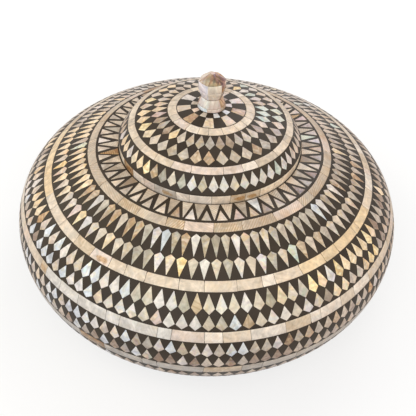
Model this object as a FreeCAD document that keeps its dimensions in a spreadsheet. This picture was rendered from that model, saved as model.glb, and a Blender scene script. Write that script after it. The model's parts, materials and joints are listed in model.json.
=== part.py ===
import FreeCAD, Part
import os

import Sketcher
from FreeCAD import Placement, Rotation, Vector

# Round inlaid box with a domed lift-off lid. A wooden core carries a black resin
# ground, and flat pieces of mother of pearl are seated on the ground in rings:
# kites, band segments, and the teeth of a zigzag.
# The frame stands on the felt: z = 0 is the table, z is the axis of the box.
# Walls, gaps, rims and widths are sizes of their own. The rows of shell are laid
# out as shares of the surface that they cover, so they follow any change of form.

SIZES = [
    ("body_radius", 158.8, "ground radius at the equator"),
    # section of the body: a four-centre oval, cut flat at the shelf and at the base
    ("edge_radius", 50.8, "arc of the round side"),
    ("crown_radius", 263.2, "arc above the round side"),
    ("keel_radius", 263.2, "arc below the round side"),
    ("keel_width", 15.1, "from the round side in to the flat base"),
    # walls of the body
    ("ground_thick", 1.5, "resin ground"),
    ("wall_thick", 8, "wooden wall"),
    ("floor_thick", 10, "wooden floor"),
    ("shelf_thick", 9, "wooden ring of the shelf"),
    ("shelf_lip", 3, "upper shell inside the shelf's edge"),
    ("felt_thick", 2, "felt pad"),
    ("felt_inset", 8.7, "felt pad inside the edge of the base"),
    ("mouth_edge", 2, "bare wood round the mouth"),
    ("rebate_depth", 5, "tongue of the upper shell in the lower bowl"),
    ("rebate_share", 0.5, "share of the wall that the tongue takes"),
    ("glue_gap", 0.05, "film of glue between bonded pieces"),
    # lid
    ("lid_radius", 70.6, "ground radius of the rim"),
    ("shelf_width", 18.4, "shelf outside the lid"),
    ("seat_width", 10.6, "shelf under the rim of the lid"),
    ("rim_height", 8, "upright rim"),
    ("skirt_height", 11.3, "sloping skirt"),
    ("skirt_width", 8, "sloping skirt"),
    ("dome_rise", 13.8, "domed top"),
    ("lid_wall", 8, "wood of the dome"),
    ("ring_gap", 0.6, "clearance of the locating ring in the mouth"),
    ("ring_wall", 7.9, "locating ring"),
    ("ring_drop", 8, "locating ring below the rim"),
    ("ring_seat", 6, "locating ring inside the lid"),
    ("ring_chamfer", 1.5, "lead-in of the locating ring"),
    ("lid_gap", 0.3, "space between the lid's inlay and the shelf"),
    # pieces of shell
    ("tile_thick", 1.2, "kites, teeth and band segments"),
    ("tile_joint", 0.5, "dark joint between band segments"),
    # rows of kites on the body: both ends as shares of the way from the shelf's
    # edge to the base, width as a share of the pitch, and the widest point as a
    # share of the length from the upper end
    ("shoulder_count", 96, "kites in each shoulder row"),
    ("shoulder_wide_share", 0.17, "widest point"),
    ("shoulder_upper_from_share", 0.0498, "upper end"),
    ("shoulder_upper_to_share", 0.1444, "lower end"),
    ("shoulder_upper_width_share", 0.85, "width"),
    ("shoulder_lower_from_share", 0.1465, "upper end"),
    ("shoulder_lower_to_share", 0.2266, "lower end"),
    ("shoulder_lower_width_share", 0.863, "width"),
    ("flank_count", 110, "kites in each flank row"),
    ("flank_wide_share", 0.72, "widest point"),
    ("flank_upper_from_share", 0.2772, "upper end"),
    ("flank_upper_to_share", 0.3539, "lower end"),
    ("flank_upper_width_share", 0.915, "width"),
    ("flank_lower_from_share", 0.3555, "upper end"),
    ("flank_lower_to_share", 0.4136, "lower end"),
    ("flank_lower_width_share", 0.908, "width"),
    ("belly_count", 126, "kites in each belly row"),
    ("belly_wide_share", 0.73, "widest point"),
    ("belly_upper_from_share", 0.4639, "upper end"),
    ("belly_upper_to_share", 0.5267, "lower end"),
    ("belly_upper_width_share", 0.9, "width"),
    ("belly_lower_from_share", 0.5289, "upper end"),
    ("belly_lower_to_share", 0.5893, "lower end"),
    ("belly_lower_width_share", 0.9, "width"),
    # bands on the body: both edges as shares of the same way
    ("mouth_band_count", 30, "segments"),
    ("mouth_band_from_share", 0.0012, "upper edge"),
    ("mouth_band_to_share", 0.0395, "lower edge"),
    ("shoulder_band_count", 48, "segments"),
    ("shoulder_band_from_share", 0.2302, "upper edge"),
    ("shoulder_band_to_share", 0.2709, "lower edge"),
    ("flank_band_count", 56, "segments"),
    ("flank_band_from_share", 0.4171, "upper edge"),
    ("flank_band_to_share", 0.4601, "lower edge"),
    ("belly_band_count", 44, "segments"),
    ("belly_band_from_share", 0.5917, "upper edge"),
    ("belly_band_to_share", 0.6347, "lower edge"),
    ("keel_band_count", 36, "segments"),
    ("keel_band_from_share", 0.766, "upper edge"),
    ("keel_band_to_share", 0.809, "lower edge"),
    ("foot_band_count", 36, "segments"),
    ("foot_band_from_share", 0.9605, "upper edge"),
    ("foot_band_to_share", 0.9977, "lower edge"),
    # zigzag on the shelf, between the lid and the shelf's edge: the inner teeth
    # point outwards and the outer teeth inwards
    ("teeth_count", 50, "teeth in each ring"),
    ("teeth_margin", 1, "bare ground at both ends of the teeth"),
    ("inner_teeth_share", 0.96, "length of the inner teeth"),
    ("inner_teeth_width_share", 0.85, "base of an inner tooth, of the pitch"),
    ("outer_teeth_share", 0.63, "length of the outer teeth"),
    ("outer_teeth_width_share", 0.632, "base of an outer tooth, of the pitch"),
    # rows on the dome: both ends as shares of the way from the knob to the skirt
    ("chequer_count", 9, "wedges, and squares"),
    ("chequer_turn", 27, "degrees round the axis"),
    ("chequer_square_from_share", 0.0162, "upper end"),
    ("chequer_square_to_share", 0.1033, "lower end"),
    ("chequer_wedge_from_share", 0.1087, "upper end"),
    ("chequer_wedge_to_share", 0.2887, "lower end"),
    ("crown_band_count", 20, "segments"),
    ("crown_band_from_share", 0.3014, "upper edge"),
    ("crown_band_to_share", 0.4196, "lower edge"),
    ("dome_count", 36, "kites in each row of the dome"),
    ("dome_wide_share", 0.67, "widest point"),
    ("dome_upper_from_share", 0.4356, "upper end"),
    ("dome_upper_to_share", 0.6584, "lower end"),
    ("dome_upper_width_share", 0.917, "width"),
    ("dome_lower_from_share", 0.6675, "upper end"),
    ("dome_lower_to_share", 0.8731, "lower end"),
    ("dome_lower_width_share", 0.9, "width"),
    ("dome_band_count", 26, "segments"),
    ("dome_band_from_share", 0.8962, "upper edge"),
    ("dome_band_to_share", 0.9976, "lower edge"),
    # row on the skirt, as shares of its slope
    ("skirt_count", 58, "kites on the skirt"),
    ("skirt_wide_share", 0.68, "widest point"),
    ("skirt_from_share", 0.06, "upper end"),
    ("skirt_to_share", 0.88, "lower end"),
    ("skirt_width_share", 0.89, "width"),
    ("rim_band_count", 36, "segments"),
    # knob: flat sides' distance from the axis and heights, as shares of the foot's
    # flat and of the whole height
    ("knob_sides", 6, "flat sides"),
    ("knob_turn", 43, "degrees round the axis"),
    ("knob_flat", 8.5, "foot"),
    ("knob_height", 25.8, "wooden knob"),
    ("knob_ankle_share", 0.95, "ankle, flat"),
    ("knob_ankle_height_share", 0.085, "ankle"),
    ("knob_waist_share", 0.7, "waist, flat"),
    ("knob_waist_height_share", 0.325, "waist"),
    ("knob_barrel_share", 0.94, "barrel, flat"),
    ("knob_barrel_low_share", 0.575, "barrel, lower edge"),
    ("knob_barrel_high_share", 0.805, "barrel, upper edge"),
    ("knob_tip_share", 0.16, "tip, flat"),
    ("knob_plate_thick", 1, "shell facets of the knob"),
    ("knob_plate_joint", 0.1, "joint along the edges of a facet"),
    ("knob_hollow_joint", 0.6, "facets stop short of the waist"),
    ("knob_ankle_joint", 0.2, "facets stop short of the ankle"),
    ("knob_seat_margin", 0.1, "flat ground round the collar"),
    ("knob_collar_height", 1.5, "collar of the ground under the knob"),
    ("knob_collar_inset", 0.1, "the foot overhangs the collar"),
    # fastening of the knob
    ("screw_radius", 1.9, "shank"),
    ("screw_hole_gap", 0.3, "clearance round the shank in the lid"),
    ("screw_pilot_gap", 0.02, "clearance round the shank in the knob"),
    ("screw_grip_share", 0.54, "shank inside the knob, of its height"),
    ("screw_head_radius", 4, "head"),
    ("screw_head_height", 2.4, "head"),
    ("screw_head_edge", 0.8, "bevelled edge of the head"),
    ("washer_margin", 2, "washer beyond the head"),
    ("washer_thick", 1, "washer"),
    ("washer_seat_margin", 1, "flat seat of the washer beyond its edge"),
]

# Values that follow from the sizes: every expression uses the names above it.
# Angles are in degrees. A tilt is the angle between the surface's normal and z.
DERIVED = [
    ("hub_radius", "sizes.body_radius - sizes.edge_radius"),
    ("crown_offset", "sqrt((sizes.crown_radius - sizes.edge_radius)^2 - form.hub_radius^2)"),
    ("keel_offset", "sqrt((sizes.keel_radius - sizes.edge_radius)^2 - form.hub_radius^2)"),
    ("crown_tilt", "atan2(form.hub_radius; form.crown_offset) / 1 deg"),
    ("keel_tilt", "180 - atan2(form.hub_radius; form.keel_offset) / 1 deg"),
    ("shelf_radius", "sizes.lid_radius + sizes.shelf_width"),
    ("base_radius", "sizes.keel_radius * sin(form.keel_tilt) - sizes.keel_width"),
    ("felt_radius", "form.base_radius - sizes.felt_inset"),
    ("equator_height", "sizes.felt_thick + sqrt(sizes.keel_radius^2 - form.base_radius^2)"
                       " - form.keel_offset"),
    ("crown_centre", "form.equator_height - form.crown_offset"),
    ("keel_centre", "form.equator_height + form.keel_offset"),
    ("shelf_height", "form.crown_centre + sqrt(sizes.crown_radius^2 - form.shelf_radius^2)"),
    ("shelf_under", "form.shelf_height - sizes.ground_thick - sizes.shelf_thick"),
    ("wall_radius", "sqrt((sizes.crown_radius - sizes.ground_thick - sizes.wall_thick)^2"
                    " - (form.shelf_under - form.crown_centre)^2)"),
    ("shelf_joint_radius", "min(form.shelf_radius; form.wall_radius) - sizes.shelf_lip"),
    ("shelf_tilt", "asin(form.shelf_radius / sizes.crown_radius) / 1 deg"),
    ("base_tilt", "180 - asin(form.base_radius / sizes.keel_radius) / 1 deg"),
    ("crown_run", "sizes.crown_radius * (form.crown_tilt - form.shelf_tilt) * pi / 180"),
    ("edge_run", "sizes.edge_radius * (form.keel_tilt - form.crown_tilt) * pi / 180"),
    ("keel_run", "sizes.keel_radius * (form.base_tilt - form.keel_tilt) * pi / 180"),
    ("body_run", "form.crown_run + form.edge_run + form.keel_run"),
    ("tongue_radius", "sizes.body_radius - sizes.ground_thick"
                      " - sizes.wall_thick * (1 - sizes.rebate_share)"),
    ("mouth_radius", "sizes.lid_radius - sizes.seat_width"),
    ("ring_radius", "form.mouth_radius - sizes.ring_gap"),
    ("ring_bore", "form.ring_radius - sizes.ring_wall"),
    ("rim_top", "form.shelf_height + sizes.rim_height"),
    ("dome_edge_radius", "sizes.lid_radius - sizes.skirt_width"),
    ("dome_edge_height", "form.rim_top + sizes.skirt_height"),
    ("dome_radius", "(form.dome_edge_radius^2 + sizes.dome_rise^2) / (2 * sizes.dome_rise)"),
    ("dome_centre", "form.dome_edge_height + sizes.dome_rise - form.dome_radius"),
    ("skirt_slope", "sqrt(sizes.skirt_width^2 + sizes.skirt_height^2)"),
    ("knob_collar_radius", "sizes.knob_flat + sizes.knob_plate_thick - sizes.knob_collar_inset"),
    ("knob_seat_radius", "form.knob_collar_radius + sizes.knob_seat_margin"),
    ("knob_seat_height", "form.dome_centre + sqrt(form.dome_radius^2 - form.knob_seat_radius^2)"),
    ("knob_base_height", "form.knob_seat_height + sizes.knob_collar_height"),
    ("knob_tilt", "asin(form.knob_seat_radius / form.dome_radius) / 1 deg"),
    ("dome_tilt", "asin(form.dome_edge_radius / form.dome_radius) / 1 deg"),
    ("dome_run", "form.dome_radius * (form.dome_tilt - form.knob_tilt) * pi / 180"),
    ("hollow_radius", "form.dome_radius - sizes.ground_thick - sizes.lid_wall"),
    ("lid_joint_height", "form.dome_centre + sqrt(form.hollow_radius^2 - form.ring_bore^2)"),
    ("teeth_start", "sizes.lid_radius + sizes.tile_thick + sizes.teeth_margin"),
    ("teeth_end", "form.shelf_radius - sizes.teeth_margin"),
    ("screw_hole_radius", "sizes.screw_radius + sizes.screw_hole_gap"),
    ("screw_grip", "sizes.knob_height * sizes.screw_grip_share"),
    ("washer_radius", "sizes.screw_head_radius + sizes.washer_margin"),
    ("washer_seat_radius", "form.washer_radius + sizes.washer_seat_margin"),
    ("washer_seat_height", "form.dome_centre + sqrt(form.hollow_radius^2 - form.washer_seat_radius^2)"),
]

doc = FreeCAD.newDocument("inlaid_box")
sheet = doc.addObject("Spreadsheet::Sheet", "sizes")
form = doc.addObject("App::VarSet", "form")
parts = []


def fill_sizes():
    """Write the driving sizes to the sheet and bind the derived values to them."""
    for row, (name, size, note) in enumerate(SIZES, start=1):
        sheet.set(f"A{row}", name)
        sheet.set(f"B{row}", str(size))
        sheet.set(f"C{row}", note)
        sheet.setAlias(f"B{row}", name)
    doc.recompute()
    for name, expression in DERIVED:
        derive(name, expression)


def derive(name, expression):
    """Add a derived value to the form and return the name that expressions use."""
    form.addProperty("App::PropertyFloat", name, "Derived")
    form.setExpression(name, expression)
    form.recompute()
    return f"form.{name}"


def value(expression):
    """Number that an expression has with the present sizes."""
    return float(sheet.evalExpression(expression))


def new_body(label):
    body = doc.addObject("PartDesign::Body", label)
    body.Label = label
    body.AllowCompound = True
    parts.append(body)
    return body


def origin_feature(body, role):
    return next(item for item in body.Origin.OriginFeatures if item.Role == role)


def pin(sketch, edge, end, place):
    """Bind one end of an edge to a pair of coordinate expressions."""
    for kind, axis, expression in zip(("DistanceX", "DistanceY"), (-2, -1), place):
        if expression == "0":
            sketch.addConstraint(Sketcher.Constraint("PointOnObject", edge, end, axis))
            continue
        rule = Sketcher.Constraint(kind, -1, 1, edge, end, value(expression))
        number = sketch.addConstraint(rule)
        sketch.setExpression(f"Constraints[{number}]", expression)


def draw(sketch, outline):
    """Draw a closed outline.

    Corners are pairs of expressions. A triple (radius, centre x, centre y)
    between two corners makes the edge between them an arc.
    """
    corners = [item for item in outline if len(item) == 2]
    arcs = {}
    for item in outline:
        if len(item) == 2:
            corner = item
        else:
            arcs[corners.index(corner)] = item
    ends = []
    for number, start in enumerate(corners):
        stop = corners[(number + 1) % len(corners)]
        first = Vector(value(start[0]), value(start[1]), 0)
        last = Vector(value(stop[0]), value(stop[1]), 0)
        if number not in arcs:
            edge = sketch.addGeometry(Part.LineSegment(first, last), False)
            ends.append((edge, 1, 2))
            continue
        radius, centre_x, centre_y = arcs[number]
        centre = Vector(value(centre_x), value(centre_y), 0)
        forward = (first - centre).cross(last - centre).z > 0
        begin, finish = (first, last) if forward else (last, first)
        circle = Part.Circle(centre, Vector(0, 0, 1), value(radius))
        arc = Part.ArcOfCircle(circle, circle.parameter(begin), circle.parameter(finish))
        edge = sketch.addGeometry(arc, False)
        ends.append((edge, 1, 2) if forward else (edge, 2, 1))
    for number, (edge, start, stop) in enumerate(ends):
        following, following_start, _ = ends[(number + 1) % len(ends)]
        sketch.addConstraint(Sketcher.Constraint("Coincident", edge, stop, following, following_start))
    for number, (edge, start, stop) in enumerate(ends):
        pin(sketch, edge, start, corners[number])
    for number, (radius, _, _) in arcs.items():
        rule = Sketcher.Constraint("Radius", ends[number][0], value(radius))
        row = sketch.addConstraint(rule)
        sketch.setExpression(f"Constraints[{row}]", radius)


def turned(label, outline):
    """Body turned about z from an outline of (radius, height) corners."""
    body = new_body(label)
    sketch = body.newObject("Sketcher::SketchObject", f"{label}_section")
    sketch.AttachmentSupport = [(origin_feature(body, "XZ_Plane"), "")]
    sketch.MapMode = "FlatFace"
    draw(sketch, outline)
    turn = body.newObject("PartDesign::Revolution", f"{label}_turn")
    turn.Profile = sketch
    turn.ReferenceAxis = (sketch, ["V_Axis"])
    turn.Angle = 360
    body.Tip = turn
    return body


def ring(label, seat, outline, count, thick, turn="0"):
    """Ring of flat pieces about z.

    seat is (radius, height, tilt) of the middle of one piece. In the outline
    x runs down the slope and y runs round the ring.
    """
    radius, height, tilt = seat
    body = new_body(label)
    sketch = body.newObject("Sketcher::SketchObject", f"{label}_outline")
    sketch.AttachmentSupport = [(origin_feature(body, "XY_Plane"), "")]
    sketch.MapMode = "FlatFace"
    sketch.AttachmentOffset = Placement(Vector(), Rotation(Vector(0, 1, 0), value(tilt)))
    film = "sizes.glue_gap"
    sketch.setExpression("AttachmentOffset.Base.x", f"{radius} + {film} * sin({tilt})")
    sketch.setExpression("AttachmentOffset.Base.z", f"{height} + {film} * cos({tilt})")
    if tilt != "0":
        sketch.setExpression("AttachmentOffset.Rotation.Angle", tilt)
    draw(sketch, outline)
    pad = body.newObject("PartDesign::Pad", f"{label}_piece")
    pad.Profile = sketch
    pad.setExpression("Length", thick)
    pattern = body.newObject("PartDesign::PolarPattern", f"{label}_ring")
    pattern.Originals = [pad]
    pattern.Axis = (origin_feature(body, "Z_Axis"), [""])
    pattern.Angle = 360
    pattern.setExpression("Occurrences", count)
    body.Tip = pattern
    if turn != "0":
        body.Placement = Placement(Vector(), Rotation(Vector(0, 0, 1), value(turn)))
        body.setExpression("Placement.Rotation.Angle", turn)
    return body


# Seats of a row on the ground surface: each adds the row's length, and the radius,
# height and tilt of its middle, to the form, and returns the last three.

def row_seat(name, run, tilt, radius, height):
    derive(f"{name}_length", f"{run} * (sizes.{name}_to_share - sizes.{name}_from_share)")
    derive(f"{name}_place", f"{run} * (sizes.{name}_from_share + sizes.{name}_to_share) / 2")
    tilt = derive(f"{name}_tilt", tilt)
    return (derive(f"{name}_radius", radius), derive(f"{name}_height", height), tilt)


def on_body(name):
    """Seat on the crown, the round side or the keel, whichever the row reaches."""
    place = f"form.{name}_place"
    tilt = f"form.{name}_tilt"
    side = "form.crown_run + form.edge_run"

    def choose(crown, edge, keel):
        return f"{place} < form.crown_run ? {crown} : ({place} < {side} ? {edge} : {keel})"

    turn = choose(f"form.shelf_tilt + {place} / sizes.crown_radius * 180 / pi",
                  f"form.crown_tilt + ({place} - form.crown_run) / sizes.edge_radius * 180 / pi",
                  f"form.keel_tilt + ({place} - ({side})) / sizes.keel_radius * 180 / pi")
    radius = choose(f"sizes.crown_radius * sin({tilt})",
                    f"form.hub_radius + sizes.edge_radius * sin({tilt})",
                    f"sizes.keel_radius * sin({tilt})")
    height = choose(f"form.crown_centre + sizes.crown_radius * cos({tilt})",
                    f"form.equator_height + sizes.edge_radius * cos({tilt})",
                    f"form.keel_centre + sizes.keel_radius * cos({tilt})")
    return row_seat(name, "form.body_run", turn, radius, height)


def on_dome(name):
    turn = f"form.knob_tilt + form.{name}_place / form.dome_radius * 180 / pi"
    radius = f"form.dome_radius * sin(form.{name}_tilt)"
    height = f"form.dome_centre + form.dome_radius * cos(form.{name}_tilt)"
    return row_seat(name, "form.dome_run", turn, radius, height)


def on_skirt(name):
    share = f"form.{name}_place / form.skirt_slope"
    turn = "atan2(sizes.skirt_height; sizes.skirt_width) / 1 deg"
    radius = f"form.dome_edge_radius + sizes.skirt_width * {share}"
    height = f"form.dome_edge_height - sizes.skirt_height * {share}"
    return row_seat(name, "form.skirt_slope", turn, radius, height)


# Outlines of the pieces of shell.

def kite(length, width, wide_share):
    wide = f"{length} * ({wide_share} - 1 / 2)"
    return [(f"-{length} / 2", "0"), (wide, f"-({width}) / 2"),
            (f"{length} / 2", "0"), (wide, f"({width}) / 2")]


def tooth(tip, width):
    """Triangle on a base at the seat, with its tip at a distance along x."""
    return [("0", f"-({width}) / 2"), (tip, "0"), ("0", f"({width}) / 2")]


def segment(seat, width, half_angle):
    """Piece of a band: the sides run along the radii, less half a joint."""
    radius, _, tilt = seat
    upper = f"({radius} - {width} / 2 * cos({tilt})) * tan({half_angle}) - sizes.tile_joint / 2"
    lower = f"({radius} + {width} / 2 * cos({tilt})) * tan({half_angle}) - sizes.tile_joint / 2"
    return [(f"-{width} / 2", f"-({upper})"), (f"{width} / 2", f"-({lower})"),
            (f"{width} / 2", lower), (f"-{width} / 2", upper)]


def pitch(radius, count):
    return f"2 * {radius} * tan(180 / {count})"


def kite_ring(label, name, group, seat):
    count = f"sizes.{group}_count"
    width = f"sizes.{name}_width_share * {pitch(seat[0], count)}"
    outline = kite(f"form.{name}_length", width, f"sizes.{group}_wide_share")
    return ring(label, seat, outline, count, "sizes.tile_thick")


def band_ring(label, name, seat):
    count = f"sizes.{name}_count"
    outline = segment(seat, f"form.{name}_length", f"180 / {count}")
    return ring(label, seat, outline, count, "sizes.tile_thick")


def chequer_ring(label, name, turn):
    """Ring of pieces that each take half a pitch."""
    seat = on_dome(name)
    outline = segment(seat, f"form.{name}_length", "90 / sizes.chequer_count")
    return ring(label, seat, outline, "sizes.chequer_count", "sizes.tile_thick", turn)


# Corners and arcs of the body's section. depth runs inwards from the ground surface.

def crown_at(depth, height):
    """Corner on the crown where it reaches a height."""
    return (f"sqrt((sizes.crown_radius - ({depth}))^2 - ({height} - form.crown_centre)^2)", height)


def keel_at(depth, height):
    return (f"sqrt((sizes.keel_radius - ({depth}))^2 - ({height} - form.keel_centre)^2)", height)


def edge_at(depth, height):
    return (f"form.hub_radius + sqrt((sizes.edge_radius - ({depth}))^2 - ({height} - form.equator_height)^2)",
            height)


def crown_join(depth):
    """Corner where the crown runs into the round side."""
    return (f"form.hub_radius + (sizes.edge_radius - ({depth})) * sin(form.crown_tilt)",
            f"form.equator_height + (sizes.edge_radius - ({depth})) * cos(form.crown_tilt)")


def keel_join(depth):
    return (f"form.hub_radius + (sizes.edge_radius - ({depth})) * sin(form.keel_tilt)",
            f"form.equator_height + (sizes.edge_radius - ({depth})) * cos(form.keel_tilt)")


def crown_arc(depth):
    return (f"sizes.crown_radius - ({depth})", "0", "form.crown_centre")


def keel_arc(depth):
    return (f"sizes.keel_radius - ({depth})", "0", "form.keel_centre")


def edge_arc(depth):
    return (f"sizes.edge_radius - ({depth})", "form.hub_radius", "form.equator_height")


SKIN = "sizes.ground_thick"
WOOD = "sizes.ground_thick + sizes.glue_gap"
INSIDE = "sizes.ground_thick + sizes.wall_thick"
SHELF_WOOD = "form.shelf_height - sizes.ground_thick - sizes.glue_gap"
SHELF_UNDER = "form.shelf_under"
FLOOR = "sizes.felt_thick + sizes.floor_thick"
TONGUE_FOOT = "form.equator_height - sizes.rebate_depth"


def make_core():
    """Wooden core: a bowl and a shell that meet in a rebate, and the ring of the shelf."""
    felt_top = "sizes.felt_thick - sizes.glue_gap"
    turned("base_felt", [
        ("0", "0"), ("form.felt_radius", "0"), ("form.felt_radius", felt_top), ("0", felt_top),
    ])
    groove = ("form.tongue_radius + sizes.glue_gap", f"{TONGUE_FOOT} - sizes.glue_gap")
    turned("lower_bowl", [
        ("0", "sizes.felt_thick"), keel_at(WOOD, "sizes.felt_thick"), keel_arc(WOOD),
        keel_join(WOOD), edge_arc(WOOD), edge_at(WOOD, "form.equator_height"),
        (groove[0], "form.equator_height"), groove, edge_at(INSIDE, groove[1]), edge_arc(INSIDE),
        keel_join(INSIDE), keel_arc(INSIDE), keel_at(INSIDE, FLOOR), ("0", FLOOR),
    ])
    seam = "form.equator_height + sizes.glue_gap"
    bore = "form.shelf_joint_radius + sizes.glue_gap"
    turned("upper_shell", [
        ("form.tongue_radius", seam), edge_at(WOOD, seam), edge_arc(WOOD),
        crown_join(WOOD), crown_arc(WOOD), crown_at(WOOD, SHELF_WOOD), (bore, SHELF_WOOD),
        (bore, SHELF_UNDER), crown_at(INSIDE, SHELF_UNDER), crown_arc(INSIDE), crown_join(INSIDE),
        edge_arc(INSIDE), edge_at(INSIDE, TONGUE_FOOT), ("form.tongue_radius", TONGUE_FOOT),
    ])
    turned("shelf_ring", [
        ("form.mouth_radius", SHELF_UNDER), ("form.shelf_joint_radius", SHELF_UNDER),
        ("form.shelf_joint_radius", SHELF_WOOD), ("form.mouth_radius", SHELF_WOOD),
    ])


def make_ground():
    """Resin ground of the body, from the mouth over the shelf and the side to the base."""
    inner = "form.mouth_radius + sizes.mouth_edge"
    under = "form.shelf_height - sizes.ground_thick"
    turned("body_ground", [
        (inner, under), crown_at(SKIN, under), crown_arc(SKIN), crown_join(SKIN), edge_arc(SKIN),
        keel_join(SKIN), keel_arc(SKIN), keel_at(SKIN, "sizes.felt_thick"),
        keel_at("0", "sizes.felt_thick"), keel_arc("0"), keel_join("0"), edge_arc("0"),
        crown_join("0"), crown_arc("0"), crown_at("0", "form.shelf_height"), (inner, "form.shelf_height"),
    ])


def make_body_inlay():
    """Rings of shell on the body, from the zigzag on the shelf down to the foot."""
    zone = "(form.teeth_end - form.teeth_start)"
    count = "sizes.teeth_count"
    inner = tooth(f"{zone} * sizes.inner_teeth_share",
                  f"sizes.inner_teeth_width_share * {pitch('form.teeth_start', count)}")
    ring("shelf_teeth_inner", ("form.teeth_start", "form.shelf_height", "0"), inner, count,
         "sizes.tile_thick")
    outer = tooth(f"-{zone} * sizes.outer_teeth_share",
                  f"sizes.outer_teeth_width_share * {pitch('form.teeth_end', count)}")
    ring("shelf_teeth_outer", ("form.teeth_end", "form.shelf_height", "0"), outer, count,
         "sizes.tile_thick", f"180 / {count}")
    band_ring("band_mouth", "mouth_band", on_body("mouth_band"))
    kite_ring("kites_shoulder_upper", "shoulder_upper", "shoulder", on_body("shoulder_upper"))
    kite_ring("kites_shoulder_lower", "shoulder_lower", "shoulder", on_body("shoulder_lower"))
    band_ring("band_shoulder", "shoulder_band", on_body("shoulder_band"))
    kite_ring("kites_flank_upper", "flank_upper", "flank", on_body("flank_upper"))
    kite_ring("kites_flank_lower", "flank_lower", "flank", on_body("flank_lower"))
    band_ring("band_flank", "flank_band", on_body("flank_band"))
    kite_ring("kites_belly_upper", "belly_upper", "belly", on_body("belly_upper"))
    kite_ring("kites_belly_lower", "belly_lower", "belly", on_body("belly_lower"))
    band_ring("band_belly", "belly_band", on_body("belly_band"))
    band_ring("band_keel", "keel_band", on_body("keel_band"))
    band_ring("band_foot", "foot_band", on_body("foot_band"))


# Corners and arcs of the lid's section.

def dome_at(depth, radius):
    """Corner on the dome at a radius."""
    return (radius, f"form.dome_centre + sqrt((form.dome_radius - ({depth}))^2 - ({radius})^2)")


def dome_level(depth, height):
    """Corner on the dome where it reaches a height."""
    return (f"sqrt((form.dome_radius - ({depth}))^2 - ({height} - form.dome_centre)^2)", height)


def dome_arc(depth):
    return (f"form.dome_radius - ({depth})", "0", "form.dome_centre")


def dome_edge(depth):
    return dome_at(depth, f"form.dome_edge_radius - ({depth}) / 2")


def rim_at(depth, height):
    return (f"sizes.lid_radius - ({depth})", height)


def rim_shoulder(depth):
    """Corner where the skirt meets the rim."""
    return rim_at(depth, f"form.rim_top - ({depth}) / 2")


def skirt_at(depth, height):
    """Corner on the skirt at a height between its ends."""
    top_radius, top = dome_edge(depth)
    foot_radius, foot = rim_shoulder(depth)
    share = f"(({top}) - {height}) / (({top}) - ({foot}))"
    return (f"{top_radius} + ({foot_radius} - ({top_radius})) * {share}", height)


def make_lid():
    """Wooden dome on a turned rim, the locating ring, and the resin ground over them."""
    seat = f"form.knob_seat_height - ({WOOD})"
    joint = "form.lid_joint_height"
    turned("lid_dome", [
        ("form.screw_hole_radius", seat), dome_level(WOOD, seat), dome_arc(WOOD), dome_edge(WOOD),
        skirt_at(WOOD, joint), ("form.ring_bore", joint), ("form.hollow_radius", "0", "form.dome_centre"),
        ("form.washer_seat_radius", "form.washer_seat_height"),
        ("form.screw_hole_radius", "form.washer_seat_height"),
    ])
    step = "form.shelf_height + sizes.ring_seat"
    under = f"{joint} - sizes.glue_gap"
    socket = "form.ring_radius + sizes.glue_gap"
    turned("lid_rim", [
        (socket, "form.shelf_height"), rim_at(WOOD, "form.shelf_height"), rim_shoulder(WOOD),
        skirt_at(WOOD, f"({under})"), ("form.ring_bore", under), ("form.ring_bore", step), (socket, step),
    ])
    foot = "form.shelf_height - sizes.ring_drop"
    head = f"{step} - sizes.glue_gap"
    turned("lid_ring", [
        ("form.ring_bore", foot), ("form.ring_radius - sizes.ring_chamfer", foot),
        ("form.ring_radius", f"{foot} + sizes.ring_chamfer"), ("form.ring_radius", head),
        ("form.ring_bore", head),
    ])
    inner_seat = "form.knob_seat_height - sizes.ground_thick"
    turned("lid_ground", [
        ("form.screw_hole_radius", inner_seat), dome_level(SKIN, inner_seat), dome_arc(SKIN), dome_edge(SKIN),
        rim_shoulder(SKIN), rim_at(SKIN, "form.shelf_height"), rim_at("0", "form.shelf_height"),
        rim_shoulder("0"), dome_edge("0"), dome_arc("0"), dome_at("0", "form.knob_seat_radius"),
        ("form.knob_collar_radius", "form.knob_seat_height"),
        ("form.knob_collar_radius", "form.knob_base_height"),
        ("form.screw_hole_radius", "form.knob_base_height"),
    ])


def make_lid_inlay():
    """Rings of shell on the lid, from the rim up to the chequer round the knob."""
    rim_seat = ("sizes.lid_radius", "form.shelf_height + sizes.rim_height / 2", "90")
    rim_width = derive("rim_band_length", "sizes.rim_height - 2 * sizes.lid_gap")
    ring("band_lid_rim", rim_seat, segment(rim_seat, rim_width, "180 / sizes.rim_band_count"),
         "sizes.rim_band_count", "sizes.tile_thick")
    kite_ring("kites_lid_skirt", "skirt", "skirt", on_skirt("skirt"))
    band_ring("band_lid_shoulder", "dome_band", on_dome("dome_band"))
    kite_ring("kites_lid_lower", "dome_lower", "dome", on_dome("dome_lower"))
    kite_ring("kites_lid_upper", "dome_upper", "dome", on_dome("dome_upper"))
    band_ring("band_lid_crown", "crown_band", on_dome("crown_band"))
    chequer_ring("lid_top_wedges", "chequer_wedge", "sizes.chequer_turn")
    chequer_ring("lid_top_squares", "chequer_square", "sizes.chequer_turn + 180 / sizes.chequer_count")


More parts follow.
